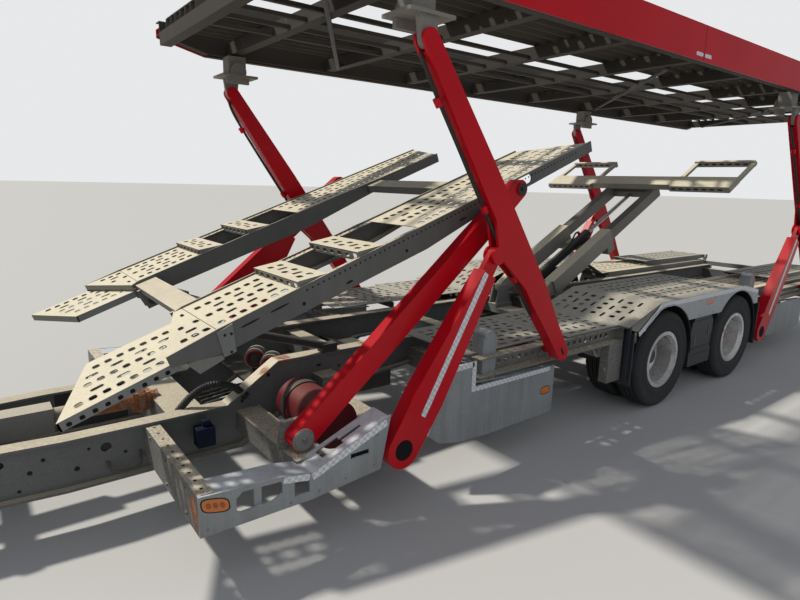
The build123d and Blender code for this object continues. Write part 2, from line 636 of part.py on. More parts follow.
# Strut arms: tapered box arms on the chassis pins, with a thin head between the long arm's ears
strut_angle = math.degrees(math.atan2(KNUCKLE[1] - STRUT_PIN[1], STRUT_PIN[0] - KNUCKLE[0]))
strut_length = math.dist(STRUT_PIN, KNUCKLE)
strut_arms = []
for name, dx in [("strut_arms_front", 0.0), ("strut_arms_rear", REAR_SET)]:
    foot = (STRUT_PIN[0] + dx, STRUT_PIN[1])
    head = (KNUCKLE[0] + dx, KNUCKLE[1])
    with BuildPart() as arm:
        body = [(0, -106), (300, -112), (700, -84), (1080, -52), (1080, 52), (700, 84), (300, 112), (0, 106)]
        add(slab([along(foot, strut_angle, u, w) for u, w in body], 1184, HALF_WIDTH))
        add(disc(foot, 106, 1184, HALF_WIDTH))
        add(slab([along(foot, strut_angle, u, w) for u, w in [
            (1060, -50), (strut_length, -46), (strut_length, 46), (1060, 50)]], 1217, 1250))
        add(disc(head, 46, 1217, 1250))
        add(disc(foot, 38.06, 1170, 1300), mode=Mode.SUBTRACT)
        add(disc(head, 24.06, 1200, 1270), mode=Mode.SUBTRACT)
        mirror(about=Plane.XZ)
    arm.part.label = name
    strut_arms.append(arm)

# Long arms: from the feet in the side rails up to the deck pins, with the knuckle ears in front
arm_angle = math.degrees(math.atan2(DECK_PIN[1] - FOOT[1], FOOT[0] - DECK_PIN[0]))
arm_length = math.dist(FOOT, DECK_PIN)
long_arms = []
for name, dx in [("long_arms_front", 0.0), ("long_arms_rear", REAR_SET)]:
    foot = (FOOT[0] + dx, FOOT[1])
    top = (DECK_PIN[0] + dx, DECK_PIN[1])
    knuckle = (KNUCKLE[0] + dx, KNUCKLE[1])
    with BuildPart() as arm:
        body = [
            (0, -52), (200, -58), (500, -84), (1300, -80), (arm_length, -50), (arm_length, 50),
            (1300, 72), (500, 76), (200, 58), (0, 52),
        ]
        add(slab([along(foot, arm_angle, u, w) for u, w in body], 1195, HALF_WIDTH))
        add(disc(foot, 52, 1195, HALF_WIDTH))
        add(disc(top, 50, 1195, HALF_WIDTH))
        ear = [along(foot, arm_angle, u, w) for u, w in [(560, 60), (1160, 60)]]
        for y0, y1 in [(1195, 1211), (1256, HALF_WIDTH)]:
            add(slab([ear[0], knuckle, ear[1]], y0, y1))
            add(disc(knuckle, 52, y0, y1))
        add(disc(knuckle, 24, 1195, HALF_WIDTH))
        add(disc(knuckle, 58, 1211, 1256), mode=Mode.SUBTRACT)
        add(disc(knuckle, 24, 1195, HALF_WIDTH))
        add(disc(top, 62, 1214, 1256), mode=Mode.SUBTRACT)
        add(disc(top, 25, 1195, HALF_WIDTH))
        add(disc(foot, 20, 1118, 1195))
        add(disc(foot, 26, 1124, 1172))
        mirror(about=Plane.XZ)
    arm.part.label = name
    long_arms.append(arm)

# Upper deck frame: side beams, cross beams and front end beam, all welded
DECK_FRONT = 3136.0
DECK_REAR = -4880.0
RISE_START = (2780.0, 2703.0)
rising_front = [(2770, 2600), (2770, 2698), RISE_START, (DECK_FRONT + 20, 2798), (DECK_FRONT + 20, 2600)]
rising_board = [(2780, 2600), (2780, 2690), (DECK_FRONT + 20, 2782), (DECK_FRONT + 20, 2600)]
with BuildPart() as upper_deck_frame:
    for y0, y1, z0, z1 in [(1180, 1260, 2700, 2706), (1180, 1260, 2874, 2880), (1180, 1190, 2700, 2880)]:
        add(box(DECK_REAR, DECK_FRONT, y0, y1, z0, z1))
    add(slab(rising_front, 1170, 1300), mode=Mode.SUBTRACT)
    add(slab(strip([RISE_START, (DECK_FRONT, 2793)], 6), 1180, 1260))
    mirror(about=Plane.XZ)
    for x in (3096, 2585, 1700, 800, -100, -1000, -2025, -2900, -3800, -4830):
        add(box(x - 40, x + 40, -1185, 1185, 2712, 2802))
upper_deck_frame.part.label = "upper_deck_frame"

# Upper runways: two plate tracks on the cross beams
with BuildPart() as upper_runways:
    add(box(DECK_REAR + 10, DECK_FRONT - 10, 400, 1050, 2868, 2874))
    for y in (400, 615, 830, 1042):
        add(box(DECK_REAR + 10, DECK_FRONT - 10, y, y + 8, 2802, 2868))
    mirror(about=Plane.XZ)
upper_runways.part.label = "upper_runways"

# Deck fascias: painted side boards with a turned-in lower edge
with BuildPart() as deck_fascias:
    add(box(DECK_REAR, DECK_FRONT, 1262, HALF_WIDTH, 2690, 2940))
    add(box(DECK_REAR, RISE_START[0], 1215, 1262, 2690, 2698))
    add(slab([(DECK_FRONT - 150, 2950), (DECK_FRONT + 20, 2950), (DECK_FRONT + 20, 2820)], 1200, 1300),
        mode=Mode.SUBTRACT)
    add(slab(rising_board, 1200, 1300), mode=Mode.SUBTRACT)
    mirror(about=Plane.XZ)
deck_fascias.part.label = "deck_fascias"

# Deck posts: short posts under the side beams, with a base plate and a lug for the long arm's fork
with BuildPart() as deck_posts:
    for dx in (0, REAR_SET):
        x, z = DECK_PIN[0] + dx, DECK_PIN[1]
        add(box(x - 150, x + 130, 1045, 1272, z + 106, z + 124))
        add(box(x - 70, x + 70, 1090, 1210, z + 124, 2700))
        add(slab([(x - 60, z + 106), (x - 46, z), (x + 46, z), (x + 60, z + 106)], 1219, 1251))
        add(disc((x, z), 46, 1219, 1251))
        add(disc((x, z), 25.06, 1200, 1270), mode=Mode.SUBTRACT)
        add(box(x - 90, x + 90, 1080, 1110, z + 60, z + 106))
        add(disc((x, z + 150), 62, 1060, 1090))
    mirror(about=Plane.XZ)
deck_posts.part.label = "deck_posts"

# Wheel support boom: two lower tubes on a pin over the frame, with the lift cylinder's barrel
support_y = [-250.0, 250.0]


def on_support(points):
    return [along(SUPPORT_PIN, SUPPORT_SLOPE, u, w) for u, w in points]


with BuildPart() as support_tubes:
    for y in support_y:
        for w0, w1 in [(-72, -62), (62, 72)]:
            add(slab(on_support([(140, w0), (1080, w0), (1080, w1), (140, w1)]), y - 55, y + 55))
        for y0, y1 in [(y - 55, y - 47), (y + 47, y + 55)]:
            add(slab(on_support([(140, -72), (1080, -72), (1080, 72), (140, 72)]), y0, y1))
        add(slab(on_support([(0, -50), (150, -72), (150, 72), (0, 50)]), y - 30, y + 30))
        add(slab(on_support([(140, -72), (150, -72), (150, 72), (140, 72)]), y - 55, y + 55))
        add(disc(SUPPORT_PIN, 50, y - 30, y + 30))
        add(disc(SUPPORT_PIN, 26.06, y - 60, y + 60), mode=Mode.SUBTRACT)
    for u in (180, 1020):
        add(slab(on_support([(u - 50, -150), (u + 50, -150), (u + 50, -72), (u - 50, -72)]), -305, 305))
support_tubes.part.label = "support_tubes"

with BuildPart() as support_stand:
    for y in support_y:
        for y0, y1 in [(y - 50, y - 34), (y + 34, y + 50)]:
            add(slab([(230, 640), (430, 640), (385, 820), (275, 820)], y0, y1))
        add(disc(SUPPORT_PIN, 26, y - 50, y + 50))
        add(box(220, 440, y - 60, y + 60, 600, 642))
    add(box(220, 440, -RAIL_Y, RAIL_Y, 560, 602))
    add(chassis_frame.part, mode=Mode.SUBTRACT)
support_stand.part.label = "support_stand"

# Cylinder between the tubes: barrel on the tubes, rod on the sliding carriage
CYL_W = -10.0
with BuildPart() as support_barrel:
    a = along(SUPPORT_PIN, SUPPORT_SLOPE, 150, CYL_W)
    rise = math.radians(SUPPORT_SLOPE)
    bore_plane = Plane(origin=(AX + a[0], 0, a[1]), x_dir=(0, 1, 0),
                       z_dir=(-math.cos(rise), 0, math.sin(rise)))
    with BuildSketch(bore_plane):
        Circle(44)
    extrude(amount=950)
    with BuildSketch(bore_plane.offset(20)):
        Circle(22)
    extrude(amount=960, mode=Mode.SUBTRACT)
    add(slab(on_support([(130, -75), (230, -75), (230, -46), (130, -46)]), -40, 40))
    add(slab(on_support([(970, -75), (1070, -75), (1070, -46), (970, -46)]), -40, 40))
    with BuildSketch(bore_plane.offset(20)):
        Circle(22)
    extrude(amount=960, mode=Mode.SUBTRACT)
    add(support_tubes.part, mode=Mode.SUBTRACT)
support_barrel.part.label = "support_barrel"

# Carriage: inner tubes that slide in the lower ones, the chrome rod and the beam across
with BuildPart() as support_carriage:
    for y in support_y:
        add(slab(on_support([(625, -52), (2010, -52), (2010, 52), (625, 52)]), y - 40, y + 40))
    with BuildSketch(bore_plane.offset(500)):
        Circle(19)
    extrude(amount=1300)
    add(slab(on_support([(1930, -40), (2010, -40), (2010, 20), (1930, 20)]), -210, 210))
support_carriage.part.label = "support_carriage"

# Wheel cradles: plate beam across with an open tray at each end for a car's wheels
with BuildPart() as wheel_cradles:
    add(slab(on_support([(1930, 56), (2110, 56), (2110, 116), (1930, 116)]), -1040, 1040))
    for u0, u1 in [(1900, 1930), (2440, 2470)]:
        add(slab(on_support([(u0, 56), (u1, 56), (u1, 116), (u0, 116)]), 460, 1040))
    for y0, y1 in [(460, 500), (1010, 1050)]:
        add(slab(on_support([(1900, 72), (2470, 72), (2470, 100), (1900, 100)]), y0, y1))
    mirror(about=Plane.XZ)
wheel_cradles.part.label = "wheel_cradles"

pieces = [
    chassis_frame, drawbar_eye, parking_leg, outriggers, side_rails, side_panels, wheel_decks, tool_boxes,
    axles, suspension, air_tank, oil_tank, drawbar_core, rear_deck, tail_bar, platform_stand, platform_frame,
    platform_treads, platform_plates, booms, upper_deck_frame, upper_runways,
    deck_fascias, deck_posts, support_tubes, support_stand, support_barrel, support_carriage, wheel_cradles,
] + wheels + ramps + extensions + strut_arms + long_arms
for piece in pieces:
    export_step(piece.part, "parts/" + piece.part.label + ".step")
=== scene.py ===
import math

import bmesh
import bpy
import numpy as np
from mathutils import Matrix


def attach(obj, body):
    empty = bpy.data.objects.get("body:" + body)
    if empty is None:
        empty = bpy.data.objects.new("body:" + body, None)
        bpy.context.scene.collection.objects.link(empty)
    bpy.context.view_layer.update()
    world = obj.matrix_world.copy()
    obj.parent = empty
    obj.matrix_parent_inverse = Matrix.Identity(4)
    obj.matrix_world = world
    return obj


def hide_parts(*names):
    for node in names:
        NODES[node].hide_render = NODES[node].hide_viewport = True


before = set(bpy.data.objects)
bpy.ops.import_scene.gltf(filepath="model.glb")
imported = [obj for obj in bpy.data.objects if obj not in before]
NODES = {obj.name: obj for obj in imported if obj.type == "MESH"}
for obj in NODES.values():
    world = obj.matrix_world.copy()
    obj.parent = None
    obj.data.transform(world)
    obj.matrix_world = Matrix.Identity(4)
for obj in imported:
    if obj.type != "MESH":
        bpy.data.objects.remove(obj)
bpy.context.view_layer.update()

# Camera: stands ahead of the left wheels at head height and looks back across the trailer.
# Its place and turn come from lining up the trailer's own straight edges and its wheels.
CAMERA_AT = (3.4865, 3.476, 1.772)
FOCAL_LENGTH, SENSOR = 25.58, 36.0
YAW, PITCH, ROLL = math.radians(37.64), math.radians(11.77), math.radians(1.43)


def stand(data, axes, at):
    """Puts a camera or lamp at a place, its own x, y and z along the three axes."""
    thing = bpy.data.objects.new(data.name, data)
    turn = np.eye(4)
    turn[:3] = np.column_stack([*axes, at])
    thing.matrix_world = Matrix(turn.tolist())
    bpy.context.scene.collection.objects.link(thing)
    return thing


forward = np.array([-math.sin(YAW) * math.cos(PITCH), -math.cos(YAW) * math.cos(PITCH), -math.sin(PITCH)])
level = np.cross(forward, [0, 0, 1])
level /= np.linalg.norm(level)
upward = np.cross(level, forward)
image_right = math.cos(ROLL) * level + math.sin(ROLL) * upward
image_up = -math.sin(ROLL) * level + math.cos(ROLL) * upward
camera = stand(bpy.data.cameras.new("camera"), (image_right, image_up, -forward), CAMERA_AT)
camera.data.sensor_width = SENSOR
camera.data.lens = FOCAL_LENGTH
bpy.context.scene.camera = camera
bpy.context.scene.view_settings.view_transform = "Standard"

# Studio: a pale floor under the tyres and soft light, the key light high on the far right-hand side
# so that tops are bright and the near sides are in soft shade. Every length along the trailer is written
# from the front axle, which stands at AXLE in the frame; points are welded on a grid of WELD steps per metre.
AXLE, WELD = -0.9475, 50000


def add_mesh(name, points, faces, body=None, material=None, smooth=False, soften=0.0):
    """Mesh from an array of points (x from the front axle) and a list of faces; equal points are welded into
    one, faces that fall together are dropped and the rest are turned outward. A narrow bevel may soften it."""
    points = np.asarray(points, float).reshape(-1, 3) + [AXLE, 0, 0]
    welded = np.round(points * WELD).astype(np.int64)
    _, first, where = np.unique(welded, axis=0, return_index=True, return_inverse=True)
    where = where.ravel().tolist()
    rings = []
    for face in faces.tolist() if isinstance(faces, np.ndarray) else faces:
        corners = [where[v] for v in face]
        ring = [v for i, v in enumerate(corners) if v != corners[i - 1]]
        if len(ring) > 2 and len(set(ring)) == len(ring):
            rings.append(ring)
    mesh = bpy.data.meshes.new(name)
    mesh.from_pydata(points[first].tolist(), [], rings)
    mesh.validate()
    work = bmesh.new()
    work.from_mesh(mesh)
    bmesh.ops.recalc_face_normals(work, faces=work.faces)
    work.to_mesh(mesh)
    work.free()
    if smooth:
        mesh.shade_smooth()
    piece = bpy.data.objects.new(name, mesh)
    bpy.context.scene.collection.objects.link(piece)
    if material is not None:
        mesh.materials.append(material)
    if soften:
        bevel = piece.modifiers.new("soft_edges", "BEVEL")
        bevel.width = soften
        bevel.segments = 2
        bevel.limit_method = "ANGLE"
    if body is not None:
        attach(piece, body)
    return piece


def ring_faces(rings, sides):
    """Four-cornered faces between each ring of points and the next, every ring closed on itself."""
    i, j = np.meshgrid(np.arange(rings - 1), np.arange(sides), indexing="ij")
    p, q = (i * sides + j).ravel(), (i * sides + (j + 1) % sides).ravel()
    return np.stack([p, q, q + sides, p + sides], 1)


def add_node(tree, kind, inputs, output=0, **options):
    """One shader node: every input takes a socket to link or a value, and the named output comes back."""
    made = tree.nodes.new("ShaderNode" + kind)
    for key, value in options.items():
        setattr(made, key, value)
    for key, value in inputs.items():
        if isinstance(value, bpy.types.NodeSocket):
            tree.links.new(value, made.inputs[key])
        else:
            made.inputs[key].default_value = value
    return made.outputs[output]


def studio_floor():
    """Round floor: rings of growing radius, the rim far away."""
    radius = np.array([0.0, 6, 14, 40, 140])[:, None]
    turn = np.linspace(0, 2 * np.pi, 48, endpoint=False)
    points = np.stack([radius * np.cos(turn), radius * np.sin(turn), 0 * radius * turn], -1)
    floor = add_mesh("floor", points, ring_faces(len(radius), len(turn)))
    colour = bpy.data.materials.new("floor_paint")
    colour.use_nodes = True
    shader = colour.node_tree.nodes["Principled BSDF"]
    shader.inputs["Base Color"].default_value = (0.52, 0.52, 0.51, 1)
    shader.inputs["Roughness"].default_value = 0.85
    floor.data.materials.append(colour)


studio_floor()
world = bpy.data.worlds.new("studio")
bpy.context.scene.world = world
world.use_nodes = True
sky = world.node_tree
sky.nodes.clear()
soft_sky = add_node(sky, "Background", {"Color": (0.86, 0.91, 1.0, 1), "Strength": 0.36})
pale_wall = add_node(sky, "Background", {"Color": (0.80, 0.81, 0.82, 1), "Strength": 1.0})
seen = add_node(sky, "LightPath", {}, "Is Camera Ray")
backdrop = add_node(sky, "MixShader", {0: seen, 1: soft_sky, 2: pale_wall})
sky.links.new(backdrop, sky.nodes.new("ShaderNodeOutputWorld").inputs["Surface"])


def add_sun(name, towards, strength, width, colour):
    """Soft sun: towards is the direction from the trailer to the light, width its spread in degrees."""
    lamp = bpy.data.lights.new(name, "SUN")
    lamp.energy = strength
    lamp.angle = math.radians(width)
    lamp.color = colour
    back = np.array(towards, float) / np.linalg.norm(towards)
    side = np.cross([0, 0, 1], back)
    side /= np.linalg.norm(side)
    stand(lamp, (side, np.cross(back, side), back), back * 20)


add_sun("key_light", (0.50, -0.62, 1.0), 3.3, 3, (1.0, 0.95, 0.86))
add_sun("fill_light", (0.5, 0.9, 0.35), 0.35, 60, (0.92, 0.95, 1.0))

# Main frame: two welded I-section rails with cross members, grey steel, its webs darkened with painted shade and
# its flanges bright with dust and painted sunlight. The cross panel and the outrigger boxes are rough hot-dip
# zinc with a strong grain. Stiffeners, bolt heads and rope hooks sit on the rails, and black strips inside the
# front rails are painted shade behind their holes.
SIDES = ((1, "left"), (-1, "right"))
RUST_BROWN, ROAD_DUST = (0.30, 0.105, 0.035), (0.26, 0.235, 0.19)


def finish(name, colour, shade=0.10, grain=0.05, spangle=0.0, rust=0.0, knocks=(), dust=0.0, dust_top=0.7,
           streaks=0.0, lit_dusty_top=None, shaded_under=None, roughness=0.55, metallic=0.0, coat=0.0, specular=0.5,
           bump=0.1, fine=70.0, checks=0.0):
    """Colour, or on faces turned up a top colour that paints dust and sunlight and on faces turned down a colour
    that paints shade, times (1 + shade cloud), (1 + grain noise), (1 - checks) on every second small square,
    (1 + spangle cell) and (1 + upright streaks); then brown where a noise passes a threshold or inside a knock's
    radius; then tan dust that grows below dust_top metres. All of it is uneven in object space only."""
    made = bpy.data.materials.new(name)
    made.use_nodes = True
    tree = made.node_tree
    shader = tree.nodes["Principled BSDF"].inputs
    place = tree.nodes.new("ShaderNodeTexCoord").outputs
    spot = place["Object"]

    def noise(scale, detail, where=spot):
        return add_node(tree, "TexNoise", {"Vector": where, "Scale": scale, "Detail": detail, "Roughness": 0.6},
                        "Fac")

    def spread(source, low, high, to_low, to_high):
        return add_node(tree, "MapRange", {"Value": source, "From Min": low, "From Max": high, "To Min": to_low,
                                           "To Max": to_high})

    def scaled(source, factor):
        return add_node(tree, "VectorMath", {0: source, "Scale": factor}, operation="SCALE")

    def mixed(amount, below, above):
        below, above = [(*end, 1) if isinstance(end, tuple) else end for end in (below, above)]
        return add_node(tree, "Mix", {0: amount, 6: below, 7: above}, 2, data_type="RGBA")

    def maths(kind, a, b):
        return add_node(tree, "Math", {0: a, 1: b}, operation=kind, use_clamp=True)

    small = noise(fine, 3.0)
    # Faces turned up blend to the top colour, dust with painted sunlight; faces turned down blend to a colour of
    # painted shade.
    for way, other in ((1, lit_dusty_top), (-1, shaded_under)):
        if other:
            facing = add_node(tree, "SeparateXYZ", {0: place["Normal"]}, "Z")
            colour = mixed(spread(facing, 0.45 * way, 0.8 * way, 0.0, 1.0), colour, other)
    tint = scaled(colour, spread(noise(1.7, 5.0), 0.32, 0.68, 1 - shade, 1 + shade))
    tint = scaled(tint, spread(small, 0.3, 0.7, 1 - grain, 1 + grain))
    if checks:
        squares = add_node(tree, "TexChecker", {"Vector": spot, "Scale": 55.0}, "Fac")
        tint = scaled(tint, spread(squares, 0.0, 1.0, 1 - checks, 1.0))
    if spangle:
        flakes = add_node(tree, "TexVoronoi", {"Vector": spot, "Scale": 110.0}, "Color")
        tint = scaled(tint, spread(flakes, 0.2, 0.8, 1 - spangle, 1 + spangle))
    if streaks:
        upright = add_node(tree, "Mapping", {"Vector": spot, "Scale": (22.0, 22.0, 1.4)})
        tint = scaled(tint, spread(noise(1.0, 4.0, upright), 0.35, 0.65, 1 - streaks, 1 + streaks * 0.5))
    if rust or knocks:
        brown = scaled(RUST_BROWN, spread(noise(45.0, 3.0), 0.3, 0.7, 0.5, 1.5))
        where = spread(noise(7.0, 9.0), 0.72 - rust * 0.14, 0.78 - rust * 0.12, 0.0, 1.0)
        for x, y, z, r in knocks:
            far = add_node(tree, "VectorMath", {0: spot, 1: (x + AXLE, y, z)}, "Value", operation="DISTANCE")
            near = spread(far, r * 0.35, r, 1.0, 0.0)
            patchy = maths("MULTIPLY", near, spread(noise(30.0, 5.0), 0.3, 0.55, 0.0, 1.2))
            where = maths("MAXIMUM", where, patchy)
        tint = mixed(where, tint, brown)
    if dust:
        depth = spread(add_node(tree, "SeparateXYZ", {0: spot}, "Z"), dust_top, 0.0, 0.0, dust)
        tint = mixed(maths("MULTIPLY", depth, noise(6.0, 6.0)), tint, ROAD_DUST)
    tree.links.new(tint, shader["Base Color"])
    shader["Roughness"].default_value = roughness
    if grain:
        uneven = spread(small, 0.3, 0.7, max(roughness - 0.08, 0.02), min(roughness + 0.10, 1.0))
        tree.links.new(uneven, shader["Roughness"])
    for key, value in (("Metallic", metallic), ("Coat Weight", coat), ("Coat Roughness", 0.06),
                       ("Specular IOR Level", specular)):
        shader[key].default_value = value
    if bump:
        raised = add_node(tree, "Bump", {"Strength": bump, "Distance": 0.0015, "Height": small})
        tree.links.new(raised, shader["Normal"])
    return made


def paint(material, *names):
    """Gives CAD pieces their finish."""
    for name in names:
        NODES[name].data.materials.clear()
        NODES[name].data.materials.append(material)


def solids(name, low, high, body, material, soften=0.0):
    """Closed solids, each between a low and a high ring of n corners, in arrays (solids, n, 3): one flat face
    closes each ring, and a wall joins every corner and the next to those of the other ring."""
    low, high = np.asarray(low, float), np.asarray(high, float)
    count, n = low.shape[:2]
    one = [[0, *range(n - 1, 0, -1)], [*range(n, 2 * n)]]
    one += [[k, (k + 1) % n, (k + 1) % n + n, k + n] for k in range(n)]
    faces = [[2 * n * solid + corner for corner in face] for solid in range(count) for face in one]
    return add_mesh(name, np.concatenate([low, high], 1), faces, body, material, soften=soften)


def bars(name, boxes, body, material, soften=0.0015):
    """Straight rectangular bars, each x0, y0, z0, x1, y1, z1 between two corners, with softened edges."""
    ends = np.asarray(boxes, float).reshape(-1, 2, 3)
    low, size = ends.min(1)[:, None], np.ptp(ends, 1)[:, None]
    foot = low + size * np.array([[0, 0, 0], [1, 0, 0], [1, 1, 0], [0, 1, 0]])
    return solids(name, foot, foot + size * [0, 0, 1], body, material, soften)


def signed_power(value, power):
    """Size of the value to a power, with the value's own sign."""
    return np.sign(value) * np.abs(value) ** power


def marks(name, rows, body, material, proud=0.0007, power=0.5):
    """Flat shapes just proud of a surface. Each row is a centre and two half-axes a and b; its edge is the
    centre + a sign(cos t)|cos t|^power + b sign(sin t)|sin t|^power, lifted along a x b."""
    centre, a, b = np.asarray(rows, float).reshape(-1, 3, 1, 3).transpose(1, 0, 2, 3)
    t = np.radians(np.arange(16) * 22.5 + 11.25)[:, None]
    edge = centre + a * signed_power(np.cos(t), power) + b * signed_power(np.sin(t), power)
    up = np.cross(a, b)
    lift = up / np.linalg.norm(up, axis=-1, keepdims=True) * proud
    return solids(name, edge, edge + lift, body, material)


def side_spot(x, y, z, a, b, s=1):
    """Row for a mark on an upright side face: half-axes a along the trailer and b upward, facing out."""
    return [(x, s * y, z), (-a * s, 0, 0), (0, 0, b)]


def across(way):
    """Unit vector along way, and two that are square to it and to each other."""
    way = np.asarray(way, float) / np.linalg.norm(way)
    aside = np.cross(way, [0.0, 0.13, 1.0] if abs(way[2]) < 0.9 else [1.0, 0.0, 0.0])
    aside /= np.linalg.norm(aside)
    return way, aside, np.cross(way, aside)


def bolts(name, places, way, radius, height, body, material):
    """Six-sided bolt heads: corners at place + radius (aside cos t + other sin t), raised along way."""
    way, aside, other = across(way)
    t = np.radians(np.arange(6) * 60)[:, None]
    foot = np.asarray(places, float).reshape(-1, 1, 3) + radius * (np.cos(t) * aside + np.sin(t) * other)
    return solids(name, foot, foot + way * height, body, material)


def pipe(name, route, radius, body, material, sides=10, rib=0.0, rib_pitch=0.02):
    """Round tube swept along a smooth line through the route's points (Catmull-Rom cubics), its rings kept
    square to the line without twist. With rib, the radius swells by rib each rib_pitch, as corrugated hose."""
    route = np.asarray(route, float)
    ends = np.vstack([2 * route[0] - route[1], route, 2 * route[-1] - route[-2]])
    length = np.linalg.norm(np.diff(route, axis=0), axis=1).sum()
    step = rib_pitch / 4 if rib else max(radius * 1.5, 0.015)
    per = max(int(length / step / (len(route) - 1)), 3)
    t = np.linspace(0, 1, per, endpoint=False)[None, :, None]
    p0, p1, p2, p3 = [ends[k:len(ends) - 3 + k][:, None, :] for k in range(4)]
    line = 0.5 * (2 * p1 + (p2 - p0) * t + (2 * p0 - 5 * p1 + 4 * p2 - p3) * t ** 2
                  + (3 * p1 - p0 - 3 * p2 + p3) * t ** 3)
    line = np.vstack([line.reshape(-1, 3), route[-1]])
    way = np.gradient(line, axis=0)
    way /= np.linalg.norm(way, axis=1)[:, None]
    aside = np.empty_like(way)
    aside[0] = across(way[0])[1]
    for k in range(1, len(way)):
        turned_on = aside[k - 1] - way[k] * (aside[k - 1] @ way[k])
        aside[k] = turned_on / np.linalg.norm(turned_on)
    other = np.cross(way, aside)
    gone = np.r_[0, np.cumsum(np.linalg.norm(np.diff(line, axis=0), axis=1))]
    size = radius + rib * np.cos(gone / rib_pitch * 2 * np.pi)
    a = np.linspace(0, 2 * np.pi, sides, endpoint=False)[:, None]
    rings = line[:, None] + size[:, None, None] * (np.cos(a) * aside[:, None] + np.sin(a) * other[:, None])
    closed = [np.broadcast_to(end, (1, sides, 3)) for end in (line[0], line[-1])]
    rings = np.concatenate([closed[0], rings, closed[1]])
    return add_mesh(name, rings, ring_faces(len(rings), sides), body, material, smooth=True)


# Top colour for faces turned up: dust and painted sunlight.
SUNNED = (0.56, 0.50, 0.38)
# Rail steel: the dark base paints the shade on the webs; the light top colour paints sunlight and dust on the
# flanges.
rail_steel = finish("rail_steel", (0.105, 0.110, 0.110), shade=0.14, grain=0.10, spangle=0.08, rust=0.12,
                    dust=0.2, lit_dusty_top=(0.54, 0.48, 0.365), roughness=0.6, metallic=0.1, bump=0.15,
                    knocks=[(2.35, 0.38, 0.69, 0.05), (2.95, 0.38, 0.69, 0.06), (3.08, 0.40, 0.63, 0.045)])
# Grey steel: the dark base paints shade on its sides, the top colour sunlight and dust.
grey_steel = finish("grey_frame_steel", (0.17, 0.178, 0.175), shade=0.12, grain=0.06, rust=0.10, dust=0.35,
                    lit_dusty_top=SUNNED, roughness=0.6, metallic=0.1, bump=0.12, streaks=0.06)
granular = finish("granular_zinc", (0.15, 0.148, 0.138), shade=0.14, grain=0.20, spangle=0.26, rust=0.14,
                  dust=0.3, lit_dusty_top=(0.52, 0.465, 0.36), roughness=0.7, metallic=0.1, bump=0.3, fine=130.0,
                  knocks=[(3.77, 1.25, 0.36, 0.11), (3.77, 1.2, 0.38, 0.07)])
black_steel = finish("black_chassis_paint", (0.016, 0.016, 0.018), shade=0.2, grain=0.15, rust=0.14, dust=0.5,
                     lit_dusty_top=(0.09, 0.085, 0.07), roughness=0.55, bump=0.2)
rubber_hose = finish("rubber_hose", (0.010, 0.010, 0.011), grain=0.1, roughness=0.55, bump=0.05)
# Flat black for dark joints, rims and strips, and as painted shade where it marks holes, slots and openings.
hole_black = finish("hole_shade", (0.006, 0.006, 0.007), grain=0.0, roughness=0.9, bump=0.0)
paint(rail_steel, "chassis_frame")
paint(granular, "outriggers")
paint(grey_steel, "parking_leg", "tail_bar", "support_stand")

WEB, TAPER_FROM, TAPER = 0.3864, 4.150, 0.1013
# Flat black marks on the cross panel flange and rail webs are painted shade for holes and openings.
marks("panel_flange_holes", [[(3.737, 0.46 + 0.083 * k, 0.459), (0.007, 0, 0), (0, 0.007, 0)]
                             for k in range(10)], "trailer", hole_black)
marks("rail_openings", [side_spot(x, 0.3863, z, a, b) for x, z, a, b in
                        [(3.05, 0.60, 0.012, 0.012), (2.70, 0.60, 0.016, 0.009), (2.55, 0.57, 0.009, 0.009),
                         (2.20, 0.62, 0.020, 0.010), (3.22, 0.47, 0.010, 0.010), (3.13, 0.38, 0.008, 0.008)]],
      "trailer", hole_black, power=0.8)
# Black strips inside the front rails are painted shade seen through the web holes.
bars("hole_shade_strips", [(3.70, s * 0.366, 0.225, 4.10, s * 0.372, 0.455) for s in (1, -1)], "trailer", rubber_hose)
for s in (1, -1):
    for x, z, r in ((4.42, 0.395, 0.030), (4.56, 0.300, 0.024), (5.15, 0.330, 0.032), (5.50, 0.390, 0.026)):
        y = 0.372 - (x - TAPER_FROM) * 230 / 2270
        marks(f"web_plug_{x}_{s}", [[(x, s * y, z), (-r * s, TAPER * r, 0), (0, 0, r)]], "trailer", hole_black,
              power=1.0, proud=0.0005)
front_holes = [(4.30, 0.330, 0.012), (4.24, 0.385, 0.010), (4.10, 0.300, 0.013), (4.04, 0.392, 0.008),
               (4.62, 0.40, 0.011), (4.70, 0.36, 0.009), (4.78, 0.30, 0.012), (4.90, 0.39, 0.010),
               (4.35, 0.245, 0.009), (3.87, 0.33, 0.009)]
# These marks are painted shade for the holes in the front rails.
marks("front_rail_holes", [[(x, s * (WEB - max(x - TAPER_FROM, 0.0) * TAPER), z),
                            (-r * s, TAPER * r if x > TAPER_FROM else 0.0, 0), (0, 0, r)]
                           for s in (1, -1) for x, z, r in front_holes], "trailer", hole_black, power=1.0)
bars("rail_stiffeners", [(x, s * 0.386, 0.522, x + 0.010, s * 0.426, 0.676)
                         for s in (1, -1) for x in (1.62, 0.95, -0.60, -2.05, -3.10)], "trailer", rail_steel)
bolts("cross_panel_bolts", [(3.773, s * y, z) for s in (1, -1) for y in (0.52, 0.80, 1.10)
                            for z in (0.30, 0.43)], (1, 0, 0), 0.009, 0.006, "trailer", rail_steel)
for s, side in SIDES:
    pipe("rail_hook_" + side, [(3.96, s * 0.392, 0.300), (3.95, s * 0.425, 0.262), (3.88, s * 0.440, 0.246),
                               (3.81, s * 0.425, 0.262), (3.80, s * 0.392, 0.320)], 0.007, "trailer",
         black_steel, 8)

